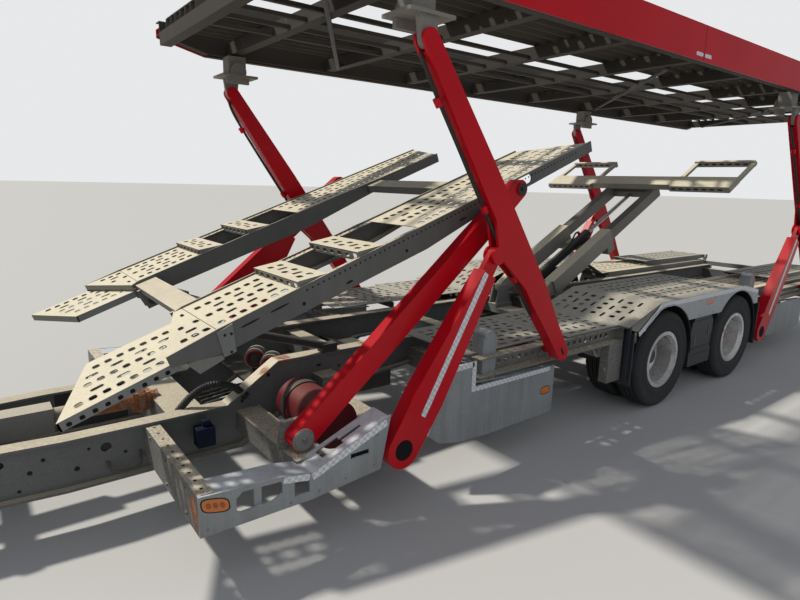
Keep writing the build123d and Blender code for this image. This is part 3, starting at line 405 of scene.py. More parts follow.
# Coupling: the forged eye is dark worn steel. The drawbar core is a rusty pushed-in tube with its
# flange and block; the slim beam ahead of it is grey steel with a clamp.
worn_steel = finish("worn_eye_steel", (0.09, 0.085, 0.08), shade=0.15, grain=0.12, rust=0.35, roughness=0.42,
                    metallic=0.6, bump=0.2)
rusty = finish("rusty_core_steel", (0.20, 0.195, 0.18), shade=0.15, grain=0.1, lit_dusty_top=(0.50, 0.46, 0.38),
               roughness=0.75, bump=0.3, knocks=[(3.72, 0.0, 0.46, 0.46), (3.66, 0.0, 0.50, 0.30)])
paint(worn_steel, "drawbar_eye")
paint(rusty, "drawbar_core")
bars("drawbar_beam", [(4.642, -0.061, 0.379, 5.561, 0.061, 0.451), (4.669, -0.077, 0.363, 4.741, 0.077, 0.467),
                      (4.559, -0.374, 0.399, 4.629, 0.374, 0.521)], "trailer", grey_steel)

# Side panels: low skirt plates in stained zinc, their top flanges lit with painted sunlight, with an amber lamp,
# a black sheet of painted shade behind the window and bright reflective tape along their sloping edges; the
# skirts under the rails carry tape as well.
FACE, SKIRT = 1.275, 1.162
# Panel zinc: its light top colour paints sunlight on the top flanges, as well as dust.
panel_zinc = finish("stained_panel_zinc", (0.25, 0.27, 0.285), shade=0.18, grain=0.09, rust=0.06, dust=0.5,
                    lit_dusty_top=(0.66, 0.69, 0.72), roughness=0.5, metallic=0.2, bump=0.1, streaks=0.14)
white_tape = finish("reflective_tape", (0.66, 0.69, 0.72), shade=0.08, grain=0.06, roughness=0.35, bump=0.05,
                    checks=0.28)
amber = finish("amber_lens", (0.52, 0.135, 0.008), shade=0.05, grain=0.05, roughness=0.18, coat=0.4, bump=0.0)
lens_dark = finish("lens_segments", (0.30, 0.062, 0.006), roughness=0.25, bump=0.0)
paint(panel_zinc, "side_panels")


def side_band(x0, z0, x1, z1, half, y, s):
    """Row for a straight band between two side view points: half the way from one to the other, and half
    the width square to it, facing out on side s."""
    run = np.array([x1 - x0, 0, z1 - z0]) / 2
    square = np.array([run[2], 0, -run[0]]) / np.linalg.norm(run) * half * s
    return [((x0 + x1) / 2, s * y, (z0 + z1) / 2), run, square]


for s, side in SIDES:
    marks("front_tape_" + side, [side_band(3.385, 0.414, 3.25, 0.390, 0.0165, FACE, s),
                                 side_band(3.235, 0.384, 2.80, 0.557, 0.0190, FACE, s)],
          "trailer", white_tape, power=0.12)
    marks("skirt_tape_" + side, [side_band(2.262, 0.700, 2.070, 0.706, 0.0165, SKIRT, s),
                                 side_band(2.053, 0.544, 1.339, 0.544, 0.0150, SKIRT, s),
                                 side_band(2.068, 0.720, 2.068, 0.530, 0.0165, SKIRT, s)],
          "trailer", white_tape, power=0.12)
    marks("front_lamp_" + side, [[(3.702, s * FACE, 0.401), (-0.058 * s, 0, -0.014 * s), (0.004, 0, 0.031)],
                                 side_spot(1.372, SKIRT, 0.395, 0.045, 0.024, s)],
          "trailer", amber, proud=0.0009, power=0.6)
    marks("front_lamp_eyes_" + side, [[(3.702 + d, s * FACE, 0.401 + 0.24 * d), (-0.011 * s, 0, -0.0026 * s),
                                       (0.002, 0, 0.014)] for d in (-0.030, 0.000, 0.030)],
          "trailer", lens_dark, proud=0.0013, power=0.8)
    marks("front_lamp_rim_" + side, [[(3.702, s * FACE, 0.401), (-0.064 * s, 0, -0.0155 * s),
                                      (0.0045, 0, 0.0365)], side_spot(1.372, SKIRT, 0.395, 0.050, 0.029, s)],
          "trailer", hole_black, proud=0.0004, power=0.6)
    # A black sheet just inside the panel paints the shade behind the window.
    bars("slot_shade_" + side, [(2.882, s * 1.244, 0.382, 3.032, s * 1.250, 0.472)], "trailer", hole_black, 0.0)
    bolts("panel_bolts_" + side, [(x, s * (FACE - 0.0032), z) for x, z in
                                  [(3.74, 0.30), (3.74, 0.41), (3.35, 0.29), (2.88, 0.34), (2.86, 0.50),
                                   (3.20, 0.30), (3.05, 0.32)]], (0, s, 0), 0.008, 0.004, "trailer", grey_steel)

# Side rails: channels open to the outside, in which the feet of the long arms run, with lashing holes in
# the web. They are welded on the ends of the outriggers and share their rough hot-dip zinc.
paint(granular, "side_rails")

# Tilting platform: punched treads with slanted ends between zinc channels with rows of small holes,
# shallow box beams across, and bolted joint plates near the pivot.
PIN_X, PIN_Z, SLOPE = 3.506, 0.984, math.radians(20.1)
UP = np.array([math.sin(SLOPE), 0, math.cos(SLOPE)])
BACK = np.array([-math.cos(SLOPE), 0, math.sin(SLOPE)])
INSIDE, OUTSIDE, TREAD_TOP, CHANNEL_FACE = 0.4585, 0.9915, 0.116, 1.000
PITCH_U = 0.0575
HOLE, SLOT, NONE = (0.0165, 0.0220), (0.0285, 0.0150), (0.0, 0.0)
TREAD = [(0.067, NONE), (0.090, HOLE), (0.0875, SLOT), (0.0865, HOLE), (0.085, SLOT), (0.083, HOLE),
         (0.035, NONE)]
# Channel steel: the dark base paints the shade on the channel sides, the top colour sunlight and dust.
channel_steel = finish("channel_steel", (0.10, 0.102, 0.098), shade=0.12, grain=0.06, rust=0.10, lit_dusty_top=SUNNED,
                       roughness=0.6, metallic=0.1, bump=0.12, streaks=0.06)
dusty_zinc = finish("dusty_zinc_tread", (0.17, 0.165, 0.15), shade=0.06, grain=0.05, spangle=0.05, rust=0.06,
                    lit_dusty_top=(0.66, 0.60, 0.455), roughness=0.75, bump=0.15)
paint(channel_steel, "platform_frame")


def cells(u_lines, v_lines, holes, thick, rim, lip=0.004, shear=0.0):
    """Sheet on a grid of cells. Each cell's hole (half length a, half width b) is a rounded shape:
    x = (a - m) sign(cos t) + m c, y = (b - m) sign(sin t) + m s, with m the smaller of a and b, and c and s
    the signed powers 0.7 of cosine and sine. A ring runs from the cell's border to the hole, lifted by rim at
    its edge, walls go down through the thickness and the same ring closes the underside. With shear, x grows
    by shear times y, which keeps a hole upright in a sheet whose rows slant."""
    def at_height(flat, w):
        return np.pad(flat, [(0, 0), (0, 0), (0, 1)], constant_values=w)

    start, end = [np.stack(np.meshgrid(u, v, indexing="ij"), -1).reshape(-1, 1, 2)
                  for u, v in ((u_lines[:-1], v_lines[:-1]), (u_lines[1:], v_lines[1:]))]
    shape = (len(u_lines) - 1, len(v_lines) - 1, 2)
    holes = np.broadcast_to(np.asarray(holes, float), shape).reshape(-1, 1, 2)
    side, ones = np.array([-1, -1 / 3, 1 / 3]), np.ones(3)
    square = np.concatenate([np.stack(pair, 1) for pair in
                             ((side, -ones), (ones, side), (-side, ones), (-ones, -side))])
    middle = (start + end) / 2
    border = middle + (end - start) / 2 * square
    turn = np.radians(np.arange(12) * 30 + 225)
    circle = np.stack([np.cos(turn), np.sin(turn)], 1)

    def outline(grow):
        size = holes + grow
        least = size.min(-1, keepdims=True)
        edge = (size - least) * np.sign(circle) + least * signed_power(circle, 0.7)
        edge[..., 0] += shear * edge[..., 1]
        return middle + edge

    bare = holes[:, 0, 0] <= 0
    grid = np.stack([at_height(flat, w) for flat, w in
                     [(border, 0.0), (outline(lip), 0.0), (outline(0.0), rim), (outline(0.0), rim - thick),
                      (outline(lip), -thick), (border, -thick)]], 1)[~bare]
    plain = np.concatenate([at_height(border[bare][:, ::3], w) for w in (0.0, -thick)], 1)
    lines = [np.stack([u_lines, np.full(len(u_lines), v)], 1) for v in v_lines[[0, -1]]]
    lines += [np.stack([np.full(len(v_lines), u), v_lines], 1) for u in u_lines[[0, -1]]]
    runs = np.concatenate([np.stack([line[:-1], line[1:]], 1) for line in lines])
    walls = np.concatenate([at_height(runs, 0.0), at_height(runs[:, ::-1], -thick)], 1)
    faces, count = [], 0
    for part, corners, quads in ((grid, 72, ring_faces(6, 12)),
                                 (plain, 8, np.array([[0, 1, 2, 3], [7, 6, 5, 4]])),
                                 (walls, 4, np.arange(4)[None])):
        faces.append((count + (np.arange(len(part)) * corners)[:, None, None] + quads).reshape(-1, 4))
        count += len(part) * corners
    return np.concatenate([part.reshape(-1, 3) for part in (grid, plain, walls)]), np.concatenate(faces)


def punched(name, strips, place, body, material, node=None, thick=0.004, rim=0.002, shear=0.0):
    """One sheet made of strips of cells, each (u lines, v lines, holes); place(u, v, w) turns sheet coordinates
    into metres."""
    points, faces, count = [], [], 0
    for u_lines, v_lines, holes in strips:
        p, f = cells(np.asarray(u_lines, float), np.asarray(v_lines, float), holes, thick, rim, shear=shear)
        points.append(p)
        faces.append(f + count)
        count += len(p)
    sheet = add_mesh(name, place(*np.concatenate(points).T), np.concatenate(faces), body, material)
    if node is not None:
        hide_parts(node)
    return sheet


def tread(u0, u1, v0, v1, first=None, phase=(1.0, 1.0), columns=TREAD):
    """Strips of the tread pattern between u0 and u1, v0 and v1: columns of holes at one pitch, and between them
    two columns of slots at twice that pitch, whose cells begin phase pitches after the first row of holes."""
    count = int((u1 - u0 - 0.030) / PITCH_U)
    start = u0 + (u1 - u0 - count * PITCH_U) / 2 if first is None else first
    rows = np.r_[u0, start + PITCH_U * np.arange(count + 1), u1]
    rows = rows[rows <= u1]
    stretch = (v1 - v0) / sum(width for width, _ in columns)
    strips, v = [], v0
    for k, (width, hole) in enumerate(columns):
        edge = v + width * stretch
        lines_at = np.array([u0, u1])
        if hole == SLOT:
            lead = start + PITCH_U * phase[k // 2 - 1]
            ends = lead + 2 * PITCH_U * np.arange(int((u1 - lead) / (2 * PITCH_U)) + 1)
            lines_at = np.r_[u0, ends[(ends > u0 + 0.01) & (ends < u1 - 0.01)], u1]
        elif hole == HOLE:
            lines_at = rows
        pattern = np.zeros((len(lines_at) - 1, 1, 2))
        if hole == SLOT:
            pattern[np.diff(lines_at) > 0.100] = SLOT
        elif hole == HOLE:
            pattern[np.abs(np.diff(lines_at) - PITCH_U) < 0.002] = HOLE
        strips.append((lines_at, [v, edge], pattern))
        v = edge
    return strips


def on_platform(u, v, w):
    """Platform coordinates: u rearwards up the slope from the pin, v across, w square to the runway."""
    x = PIN_X - u * math.cos(SLOPE) + w * math.sin(SLOPE)
    return np.stack(np.broadcast_arrays(x, v, PIN_Z + u * math.sin(SLOPE) + w * math.cos(SLOPE)), -1)


def slanted(v, at_outer, at_inner):
    """Place along the slope of a slanting edge at distance v from the middle."""
    return at_inner + (at_outer - at_inner) * np.clip((np.abs(v) - 0.458) / 0.534, 0, 1)


def runway_slab(name, corners, v0, v1, s, body, material, soften=0.0):
    """Flat upright piece along a runway: side view corners (u, w), from v0 to v1 off the middle."""
    ends = [[[on_platform(u, s * v, w) for u, w in corners]] for v in (v0, v1)]
    return solids(name, *ends, body, material, soften)


def runway_edge(name, corners, w0, w1, s, body, material):
    """Folded edge of a runway sheet: plan view corners (u, v), from w0 to w1 over the pin's plane."""
    ends = [[[on_platform(u, s * v, w) for u, v in corners]] for w in (w0, w1)]
    return solids(name, *ends, body, material)


for s, side in SIDES:
    def flat_tread(u, v, w, s=s):
        return on_platform(u, v * s, w + TREAD_TOP)

    def nose(u, v, w, s=s):
        """u from 0 at the slanting front edge to 0.228 at the bolted joint."""
        low = slanted(v, -0.265, -0.063)
        return on_platform(low + (-0.0165 - low) * u / 0.228, v * s, w + TREAD_TOP)

    def end_tread(u, v, w, s=s):
        """u from 1.244, its last 0.25 metres stretched to the slanting rear edge."""
        end = slanted(v, 2.855, 2.680)
        return on_platform(np.where(u > 2.5, 2.5 + (end - 2.5) * (u - 2.5) / 0.25, u), v * s, w + TREAD_TOP)

    nose_holes = {1: ([2], (0.022, 0.022)), 3: ([1, 3], (0.020, 0.022)), 5: ([1, 2, 3], (0.0170, 0.022))}
    strips, v = [], INSIDE
    for k, (width, _) in enumerate(TREAD):
        rows, hole = nose_holes.get(k, ([], NONE))
        pattern = np.zeros((4, 1, 2))
        pattern[rows] = hole
        strips.append((np.linspace(0.0, 0.228, 5), [v, v + width * 0.998], pattern))
        v += width * 0.998
    strips[4] = ([0, 0.075, 0.203, 0.228], strips[4][1], np.array([[NONE], [(0.033, 0.0150)], [NONE]]))
    punched("platform_tread_nose_" + side, strips, nose, "platform", dusty_zinc, "platform_treads",
            shear=0.19)
    punched("platform_tread_front_" + side, tread(-0.013, 0.424, INSIDE, OUTSIDE, 0.0065), flat_tread,
            "platform", dusty_zinc, "platform_treads")
    punched("platform_tread_rear_" + side, tread(1.244, 2.750, INSIDE, OUTSIDE), end_tread,
            "platform", dusty_zinc, "platform_treads")
    folded = [(slanted(v, -0.265, -0.063) + d, v) for d, v in
              ((0.0, INSIDE), (0.0, OUTSIDE), (0.008, OUTSIDE), (0.008, INSIDE))]
    lip = runway_edge("tread_lip_" + side, folded, 0.082, 0.110, s, "platform", dusty_zinc)
    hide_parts("platform_treads")
    # The flat black marks below paint the shade in the channels' small holes, web openings and joint holes.
    flange_holes = []
    for y in (0.985, 0.965, 0.465, 0.485):
        rows_at = np.arange(0.455, 1.225, 0.0335) if y in (0.985, 0.465) else np.arange(0.472, 1.21, 0.067)
        flange_holes += [[on_platform(u, s * y, TREAD_TOP), BACK * 0.0058, (0, -0.0058, 0)] for u in rows_at]
    marks("flange_holes_" + side, flange_holes, "platform", hole_black, power=0.9)
    edge_holes = [(u, 0.098, 0.0055, 0.0055) for u in np.arange(0.46, 2.70, 0.0335)]
    edge_holes += [(0.134, 0.080, 0.052, 0.005), (0.295, 0.080, 0.054, 0.005), (-0.010, 0.086, 0.007, 0.007),
                   (0.020, 0.034, 0.008, 0.008), (0.42, 0.040, 0.010, 0.010), (0.70, 0.030, 0.022, 0.007),
                   (1.10, 0.036, 0.010, 0.010), (1.55, 0.050, 0.030, 0.006)]
    marks("web_openings_" + side, [[on_platform(u, s * CHANNEL_FACE, w), BACK * a * s, UP * b]
                                   for u, w, a, b in edge_holes], "platform", hole_black, power=0.9)
    runway_slab("joint_plate_" + side, [(-0.027, 0.113), (0.055, 0.121), (0.022, -0.014), (-0.040, -0.011)],
                CHANNEL_FACE, 1.007, s, "platform", grey_steel, 0.0015)
    marks("joint_holes_" + side, [[on_platform(u, s * 1.007, w), BACK * 0.007 * s, UP * 0.007]
                                  for u, w in [(0.001, 0.086), (0.031, 0.078), (0.000, -0.003)]], "platform",
          hole_black, power=1.0)
    runway_slab("front_guard_" + side, [(-0.205, 0.052), (-0.040, 0.000), (-0.040, -0.022), (-0.165, -0.030)],
                CHANNEL_FACE, 0.9945, s, "platform", dusty_zinc, 0.001)

# Wheel plates: loose wedges of punched sheet that rest on the channels and hold a car's wheels, with a
# lip of square holes at the front and small side cheeks.
for s, side in SIDES:
    for k, (u0, u1) in enumerate(((0.428, 0.600), (0.800, 0.976))):
        fall = (0.125 - 0.156) / (u1 - u0)
        punched(f"wheel_plate_{k}_{side}", tread(0, u1 - u0, 0.4625, 0.9875, 0.025, (0.0, 0.0)),
                lambda u, v, w, s=s, u0=u0, fall=fall: on_platform(u + u0, v * s, 0.1555 + u * fall + w),
                "platform", dusty_zinc, "platform_plates", 0.006)
        centres = 0.558 + 0.0805 * np.arange(6)
        ends = np.sort(np.r_[0.515, centres - 0.0325, centres + 0.0325, 0.987])
        pattern = np.zeros((3, 13, 2))
        pattern[1, 1::2] = (0.0135, 0.0215)
        punched(f"wheel_plate_{k}_lip_{side}", [([0.0, 0.010, 0.046, 0.052], ends, pattern)],
                lambda u, v, w, s=s, u0=u0: on_platform(u0 - w, v * s, 0.1025 + u), "platform", dusty_zinc,
                "platform_plates", 0.005, 0.0015)
        for v in (0.463, 0.981):
            corners = [(u0, 0.1175), (u1 - 0.006, 0.1175), (u0, 0.150)]
            cheek = runway_slab(f"wheel_plate_{k}_cheek_{side}_{v}", corners, v, v + 0.006, s, "platform",
                                dusty_zinc)
            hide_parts("platform_plates")

# Platform extensions: pointed leaves that slide out under the front treads; the folded outer side has a
# row of round locking holes. The right one stands pushed in by 0.1 m. Each leaf has a slanting tip and tail.
TIP_OUT, TIP_IN, TAIL_OUT, TAIL_IN = -0.738, -0.530, -0.225, -0.035
LEAF_OUT, LEAF_IN = 0.986, 0.464
LEAF = [(0.061, NONE), *TREAD[1:6], (0.029, NONE)]
for s, side, push in ((1, "left", 0.0), (-1, "right", 0.1)):
    body, node = side + "_extension", "extension_" + side

    def on_leaf(u, v, w, s=s, push=push):
        """u runs rearwards from the slanting tip, so that every row of holes slants with it."""
        out = (v - LEAF_IN) / (LEAF_OUT - LEAF_IN)
        tip, tail = TIP_IN + (TIP_OUT - TIP_IN) * out, TAIL_IN + (TAIL_OUT - TAIL_IN) * out
        return on_platform(push + tip + (tail - tip) * u / 0.5, v * s, w + 0.070)

    punched("extension_top_" + side, tread(0.0, 0.5, LEAF_IN, LEAF_OUT, 0.042, (-0.5, 0.5), LEAF), on_leaf,
            body, dusty_zinc, node, shear=0.398)
    cheek_lines = np.r_[TIP_OUT, -0.699 - 0.026 + 0.052 * np.arange(10), TAIL_OUT]
    pattern = np.zeros((len(cheek_lines) - 1, 1, 2))
    pattern[1:10] = (0.011, 0.011)
    punched("extension_cheek_" + side,
            [(cheek_lines, [0.028, 0.0565, 0.066], np.concatenate([pattern, pattern * 0], 1))],
            lambda u, v, w, s=s, push=push: on_platform(u + push, s * (LEAF_OUT + w), v), body, grey_steel,
            node, 0.007, 0.0)
    corners = [(push + u, w) for u, w in ((-0.690, 0.030), (-0.235, 0.030), (-0.235, 0.060), (-0.690, 0.060))]
    runway_slab("wear_strip_" + side, corners, 0.972, 0.9775, s, body, hole_black)
    for part, (ua, va), (ub, vb), (du, dv), steel in (
            ("tip", (TIP_OUT, LEAF_OUT), (TIP_IN, LEAF_IN), (0.008, 0.0), dusty_zinc),
            ("inner", (TIP_IN, LEAF_IN), (TAIL_IN, LEAF_IN), (0.0, 0.008), grey_steel)):
        corners = [(push + ua, va), (push + ub, vb), (push + ub + du, vb + dv), (push + ua + du, va + dv)]
        edge = runway_edge(f"extension_{part}_{side}", corners, 0.028, 0.067, s, body, steel)
        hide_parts(node)

# Platform stand: black round props up to the pivot pins, and the small tilt cylinder beside the far
# runway with its black head and chrome rod.
chrome = finish("chrome_rod", (0.62, 0.63, 0.64), shade=0.03, grain=0.02, roughness=0.14, metallic=1.0,
                bump=0.0)
paint(black_steel, "platform_stand")


def turned(name, centre, axis, profile, body, material, sides=40):
    """Round piece: the profile's (along, radius) pairs turned about an axis through the centre, shaded smooth
    apart from edges sharper than 35 degrees."""
    along, radius = np.asarray(profile, float).T[:, :, None, None]
    axis, aside, other = across(axis)
    a = np.linspace(0, 2 * np.pi, sides, endpoint=False)[:, None]
    points = np.asarray(centre, float) + along * axis + radius * (np.cos(a) * aside + np.sin(a) * other)
    piece = add_mesh(name, points, ring_faces(len(profile), sides), body, material, smooth=True)
    piece.modifiers.new("sharp_edges", "EDGE_SPLIT").split_angle = math.radians(35)
    return piece


TILT_HEAD, TILT_WAY = (3.395, -0.30, 1.035), (-0.93, 0.0, -0.36)
turned("tilt_cylinder_head", TILT_HEAD, TILT_WAY, [(0, 0), (0, 0.030), (0.10, 0.030), (0.10, 0)], "platform",
       black_steel, 24)
turned("tilt_cylinder_rod", TILT_HEAD, TILT_WAY, [(0.09, 0.014), (0.30, 0.014), (0.30, 0.0)], "platform",
       chrome, 24)

# Booms: gloss red box struts; a big grey cap with a hex bolt closes each foot pin, and the head ends in
# a thin keeper plate outside the slot.
BOOM_FOOT, BOOM_HEAD = (3.190, 0.493), (1.682, 1.745)
red_gloss = finish("red_gloss_paint", (0.47, 0.004, 0.012), shade=0.07, grain=0.0, roughness=0.30, coat=0.05,
                   specular=0.16, bump=0.0)
paint(red_gloss, "booms")
for s, side in SIDES:
    turned("boom_cap_" + side, (BOOM_FOOT[0], s * 1.101, BOOM_FOOT[1]), (0, s, 0),
           [(0, 0.060), (0.004, 0.058), (0.006, 0.050), (0.0095, 0.047), (0.010, 0.020), (0.010, 0)],
           "platform_booms", grey_steel)
    bolts("boom_bolt_" + side, [(BOOM_FOOT[0], s * 1.111, BOOM_FOOT[1])], (0, s, 0), 0.015, 0.010,
          "platform_booms", rail_steel)
    turned("boom_keeper_" + side, (BOOM_HEAD[0], s * 1.1102, BOOM_HEAD[1]), (0, s, 0),
           [(0, 0.040), (0.004, 0.038), (0.004, 0.012), (0.012, 0.012), (0.012, 0)], "platform_booms",
           black_steel)

# Strut arms: tapered red box arms. A flat near-black disc and ring on the foot pin are painted shade for the
# bore, a long strip of reflective tape runs up the outer face, and a hose lies in small lugs along the rear
# edge.
REAR_SET = -4.610
ARM_SETS = [(which, dx, s, side) for which, dx in (("front", 0.0), ("rear", REAR_SET)) for s, side in SIDES]
STRUT, KNUCKLE = np.array([2.683, 0.365]), np.array([2.030, 1.3725])
# Near black painted as the shade inside the foot pin's bore.
foot_bore_shade = finish("pin_bore_shade", (0.012, 0.010, 0.010), roughness=0.8, specular=0.1, bump=0.1)
paint(red_gloss, "strut_arms_front", "strut_arms_rear")


def side_axes(low, high):
    """Side view unit vectors (x, z): from low to high, and square to that towards the front."""
    way = (high - low) / np.linalg.norm(high - low)
    return way, np.array([way[1], -way[0]])


strut_way, strut_up = side_axes(STRUT, KNUCKLE)
for which, dx, s, side in ARM_SETS:
    body, key = which + "_struts", f"{which}_{side}"
    turned("strut_boss_" + key, (STRUT[0] + dx, s * 1.226, STRUT[1]), (0, s, 0),
           [(0.0, 0.0), (0.0, 0.037), (0.040, 0.037), (0.0487, 0.048), (0.0487, 0.058), (0.044, 0.060)], body,
           red_gloss)
    marks("strut_bore_" + key, [side_spot(STRUT[0] + dx, 1.2263, STRUT[1], 0.030, 0.030, s)], body, foot_bore_shade,
          power=1.0, proud=0.002)
    mid = STRUT + strut_way * 0.637 + strut_up * 0.0075
    run = strut_way * 0.434 + strut_up * 0.0235
    marks("strut_tape_" + key, [[(mid[0] + dx, s * FACE, mid[1]), (-run[0] * s, 0, -run[1] * s),
                                 (-strut_up[0] * 0.019, 0, -strut_up[1] * 0.019)]], body, white_tape,
          power=0.12, proud=0.0006)
    turned("strut_foot_ring_" + key, (STRUT[0] + dx, s * FACE, STRUT[1]), (0, s, 0),
           [(-0.004, 0.060), (0.0006, 0.058), (0.0006, 0.0)], body, foot_bore_shade)
    hose = [STRUT + strut_way * a - strut_up * b for a, b in
            [(0.12, 0.122), (0.35, 0.120), (0.60, 0.104), (0.85, 0.084), (1.05, 0.066)]]
    pipe("strut_hose_" + key, [(x + dx, s * 1.23, z) for x, z in hose], 0.008, body, rubber_hose, 8)
    lugs = [STRUT + strut_way * a - strut_up * b for a, b in [(0.35, 0.112), (0.62, 0.094), (0.88, 0.072)]]
    bars("strut_lugs_" + key, [(x + dx - 0.012, s * 1.212, z - 0.012, x + dx + 0.012, s * 1.248, z + 0.012)
                               for x, z in lugs], body, red_gloss, 0.003)

# Long arms: red box arms from the rail feet to the deck pins. Each has a hose down its front edge in red
# clamps, a red disc over the pin at the knuckle and at the deck, and a dark slot at the foot.
FOOT, DECK = np.array([1.363, 0.687]), np.array([2.585, 2.437])
arm_way, arm_up = side_axes(FOOT, DECK)
paint(red_gloss, "long_arms_front", "long_arms_rear")
for which, dx, s, side in ARM_SETS:
    def at(a, b, y, dx=dx, s=s):
        """Point a metres up the arm, b metres ahead of its middle line, at side distance y."""
        x, z = FOOT + arm_way * a + arm_up * b
        return (x + dx, s * y, z)

    body, key = which + "_arms", f"{which}_{side}"
    pipe("arm_hose_" + key, [at(0.42, 0.090, 1.235), at(0.72, 0.096, 1.240), at(1.0, 0.100, 1.240),
                             at(1.22, 0.094, 1.240), at(1.55, 0.090, 1.242), at(1.86, 0.084, 1.240),
                             at(2.02, 0.074, 1.236), at(2.10, 0.058, 1.225)], 0.0105, body, rubber_hose, 10)
    for k, a in enumerate((0.72, 1.22, 1.86)):
        turned(f"arm_clamp_{k}_{key}", at(a, 0.093, 1.240), (arm_way[0], 0, arm_way[1]),
               [(-0.022, 0.0), (-0.022, 0.020), (0.022, 0.020), (0.022, 0.0)], body, red_gloss, 16)
        turned(f"arm_clamp_stub_{k}_{key}", at(a, 0.070, 1.240), (arm_up[0], 0, arm_up[1]),
               [(0.0, 0.012), (0.024, 0.010), (0.024, 0.0)], body, red_gloss, 12)
    turned("knuckle_ring_" + key, (KNUCKLE[0] + dx, s * FACE, KNUCKLE[1]), (0, s, 0),
           [(-0.002, 0.040), (0.0006, 0.038), (0.0006, 0.0)], body, red_gloss)
    turned("deck_pin_cap_" + key, (DECK[0] + dx, s * (FACE - 0.0005), DECK[1]), (0, s, 0),
           [(-0.002, 0.036), (0.001, 0.034), (0.001, 0.0)], body, red_gloss)
    # The foot slot is a flat black mark of painted shade.
    marks("foot_slot_" + key, [[at(0.015, 0.0, FACE), (arm_way[0] * 0.030 * s, 0, arm_way[1] * 0.030 * s),
                                (arm_up[0] * 0.010, 0, arm_up[1] * 0.010)]], body, hole_black, power=0.6,
          proud=0.0004)

# Upper deck: frame in a near-black colour that paints the shade under the deck, with punched runway strips on
# edge-on bars darkened with painted shade too, seen mostly from below, with thin stringers and black diagonal
# braces under it.
# Deck frame: its near-black brown paints the shade under the upper deck, with rust.
deck_shade_dark = finish("deck_underside_shade_steel", (0.030, 0.024, 0.018), shade=0.18, grain=0.12, rust=0.25,
                   roughness=0.75, bump=0.25)
# Deck bars: base darkened as painted shade under the deck; the top colour paints dust and light.
deck_bar = finish("deck_bar_steel", (0.085, 0.075, 0.060), shade=0.12, grain=0.10, rust=0.15,
                  lit_dusty_top=(0.30, 0.285, 0.24), roughness=0.7, bump=0.2)
bracket_steel = finish("deck_bracket_steel", (0.19, 0.18, 0.16), shade=0.12, grain=0.1, rust=0.2,
                       roughness=0.65, bump=0.2)
paint(deck_shade_dark, "upper_deck_frame")
paint(bracket_steel, "deck_posts")
for s, side in SIDES:
    for k in range(4):
        u0 = -4.870 + 2.0 * k
        punched(f"upper_runway_{k}_{side}", tread(u0, u0 + 1.995 - (0.004 if k == 3 else 0), 0.401, 1.049),
                lambda u, v, w, s=s: np.stack([u, v * s, 2.874 + w], -1), "upper_deck", deck_bar,
                "upper_runways", 0.005, 0.0)
bars("upper_runway_bars", [(-4.868, s * y, 2.803, 3.126, s * (y + 0.006), 2.868)
                           for s in (1, -1) for y in (0.401, 0.508, 0.616, 0.724, 0.832, 0.940, 1.043)],
     "upper_deck", deck_bar)
bars("upper_deck_stringers", [(-4.80, s * y, 2.716, 3.05, s * (y + 0.030), 2.742)
                              for s in (1, -1) for y in (0.10, 0.34)], "upper_deck", deck_shade_dark)
for k, (x0, x1) in enumerate([(3.00, 1.75), (-0.15, -1.95), (-2.95, -4.75)]):
    pipe(f"deck_diagonal_{k}", [(x0, 0.95, 2.706), ((x0 + x1) / 2, 0, 2.704), (x1, -0.95, 2.706)], 0.016,
         "upper_deck", black_steel, 12)

# Deck fascias: gloss red side boards with painted shade on their undersides and a turned-in lower edge in the
# deck's dark colour, a joint near the middle and a bright patch on both sides of it.
# Board red: faces turned down take a near-black red that paints the shade under the boards.
board_red = finish("board_red_paint", (0.47, 0.004, 0.012), shade=0.07, grain=0.0, shaded_under=(0.030, 0.012, 0.010),
                   roughness=0.30, coat=0.05, specular=0.16, bump=0.0)
paint(board_red, "deck_fascias")
# The turned-in lower edge takes the deck's dark colour, painted shade.
bars("fascia_return", [(-4.878, s * 1.2125, 2.6886, 2.778, s * 1.2655, 2.6965) for s in (1, -1)], "upper_deck",
     deck_shade_dark, 0.0)
marks("fascia_joint", [side_spot(-0.03, FACE, 2.815, 0.0025, 0.123, s) for s in (1, -1)], "upper_deck",
      hole_black, power=0.1, proud=0.0003)
marks("fascia_patches", [side_spot(x, FACE, 2.735, 0.050, 0.013, s) for s in (1, -1) for x in (0.035, -0.095)],
      "upper_deck", white_tape, power=0.2, proud=0.0004)

# Wheel decks: punched sheet over the wheels, humped, with a smooth outer border. A plate skirt cut out
# round the tyres hangs below with a bright band, and black liners close the space round the tyres.
AXLES, HUB = (0.0, -1.280), 0.400
DECK_IN, DECK_OUT, SKIRT_OUT = 0.432, 1.262, 1.2736
HUMP = np.array([(2.080, 0.746), (0.560, 0.746), (0.120, 0.888), (-1.345, 0.888), (-1.665, 0.746),
                 (-1.790, 0.746)])
FOLDS = np.r_[0, np.cumsum(np.linalg.norm(np.diff(HUMP, axis=0), axis=1))]
shade_zinc = finish("lower_deck_zinc", (0.15, 0.15, 0.14), shade=0.14, grain=0.08, spangle=0.08, rust=0.14,
                    lit_dusty_top=(0.44, 0.415, 0.35), roughness=0.66, metallic=0.1, bump=0.2)
skirt_paint = finish("skirt_paint", (0.34, 0.365, 0.385), shade=0.10, grain=0.05, rust=0.05, dust=0.4,
                     roughness=0.45, metallic=0.2, bump=0.08, streaks=0.06)


def on_hump(u, v, w):
    """u is the distance along the folded line of the deck, w square to the local fold."""
    which = np.clip(np.searchsorted(FOLDS, u, side="right") - 1, 0, len(HUMP) - 2)
    way = (HUMP[which + 1] - HUMP[which]) / np.diff(FOLDS)[which][:, None]
    up = np.stack([way[:, 1], -way[:, 0]], 1)
    x, z = (HUMP[which] + way * (u - FOLDS[which])[:, None] + up * w[:, None]).T
    return np.stack([x, v, z], -1)


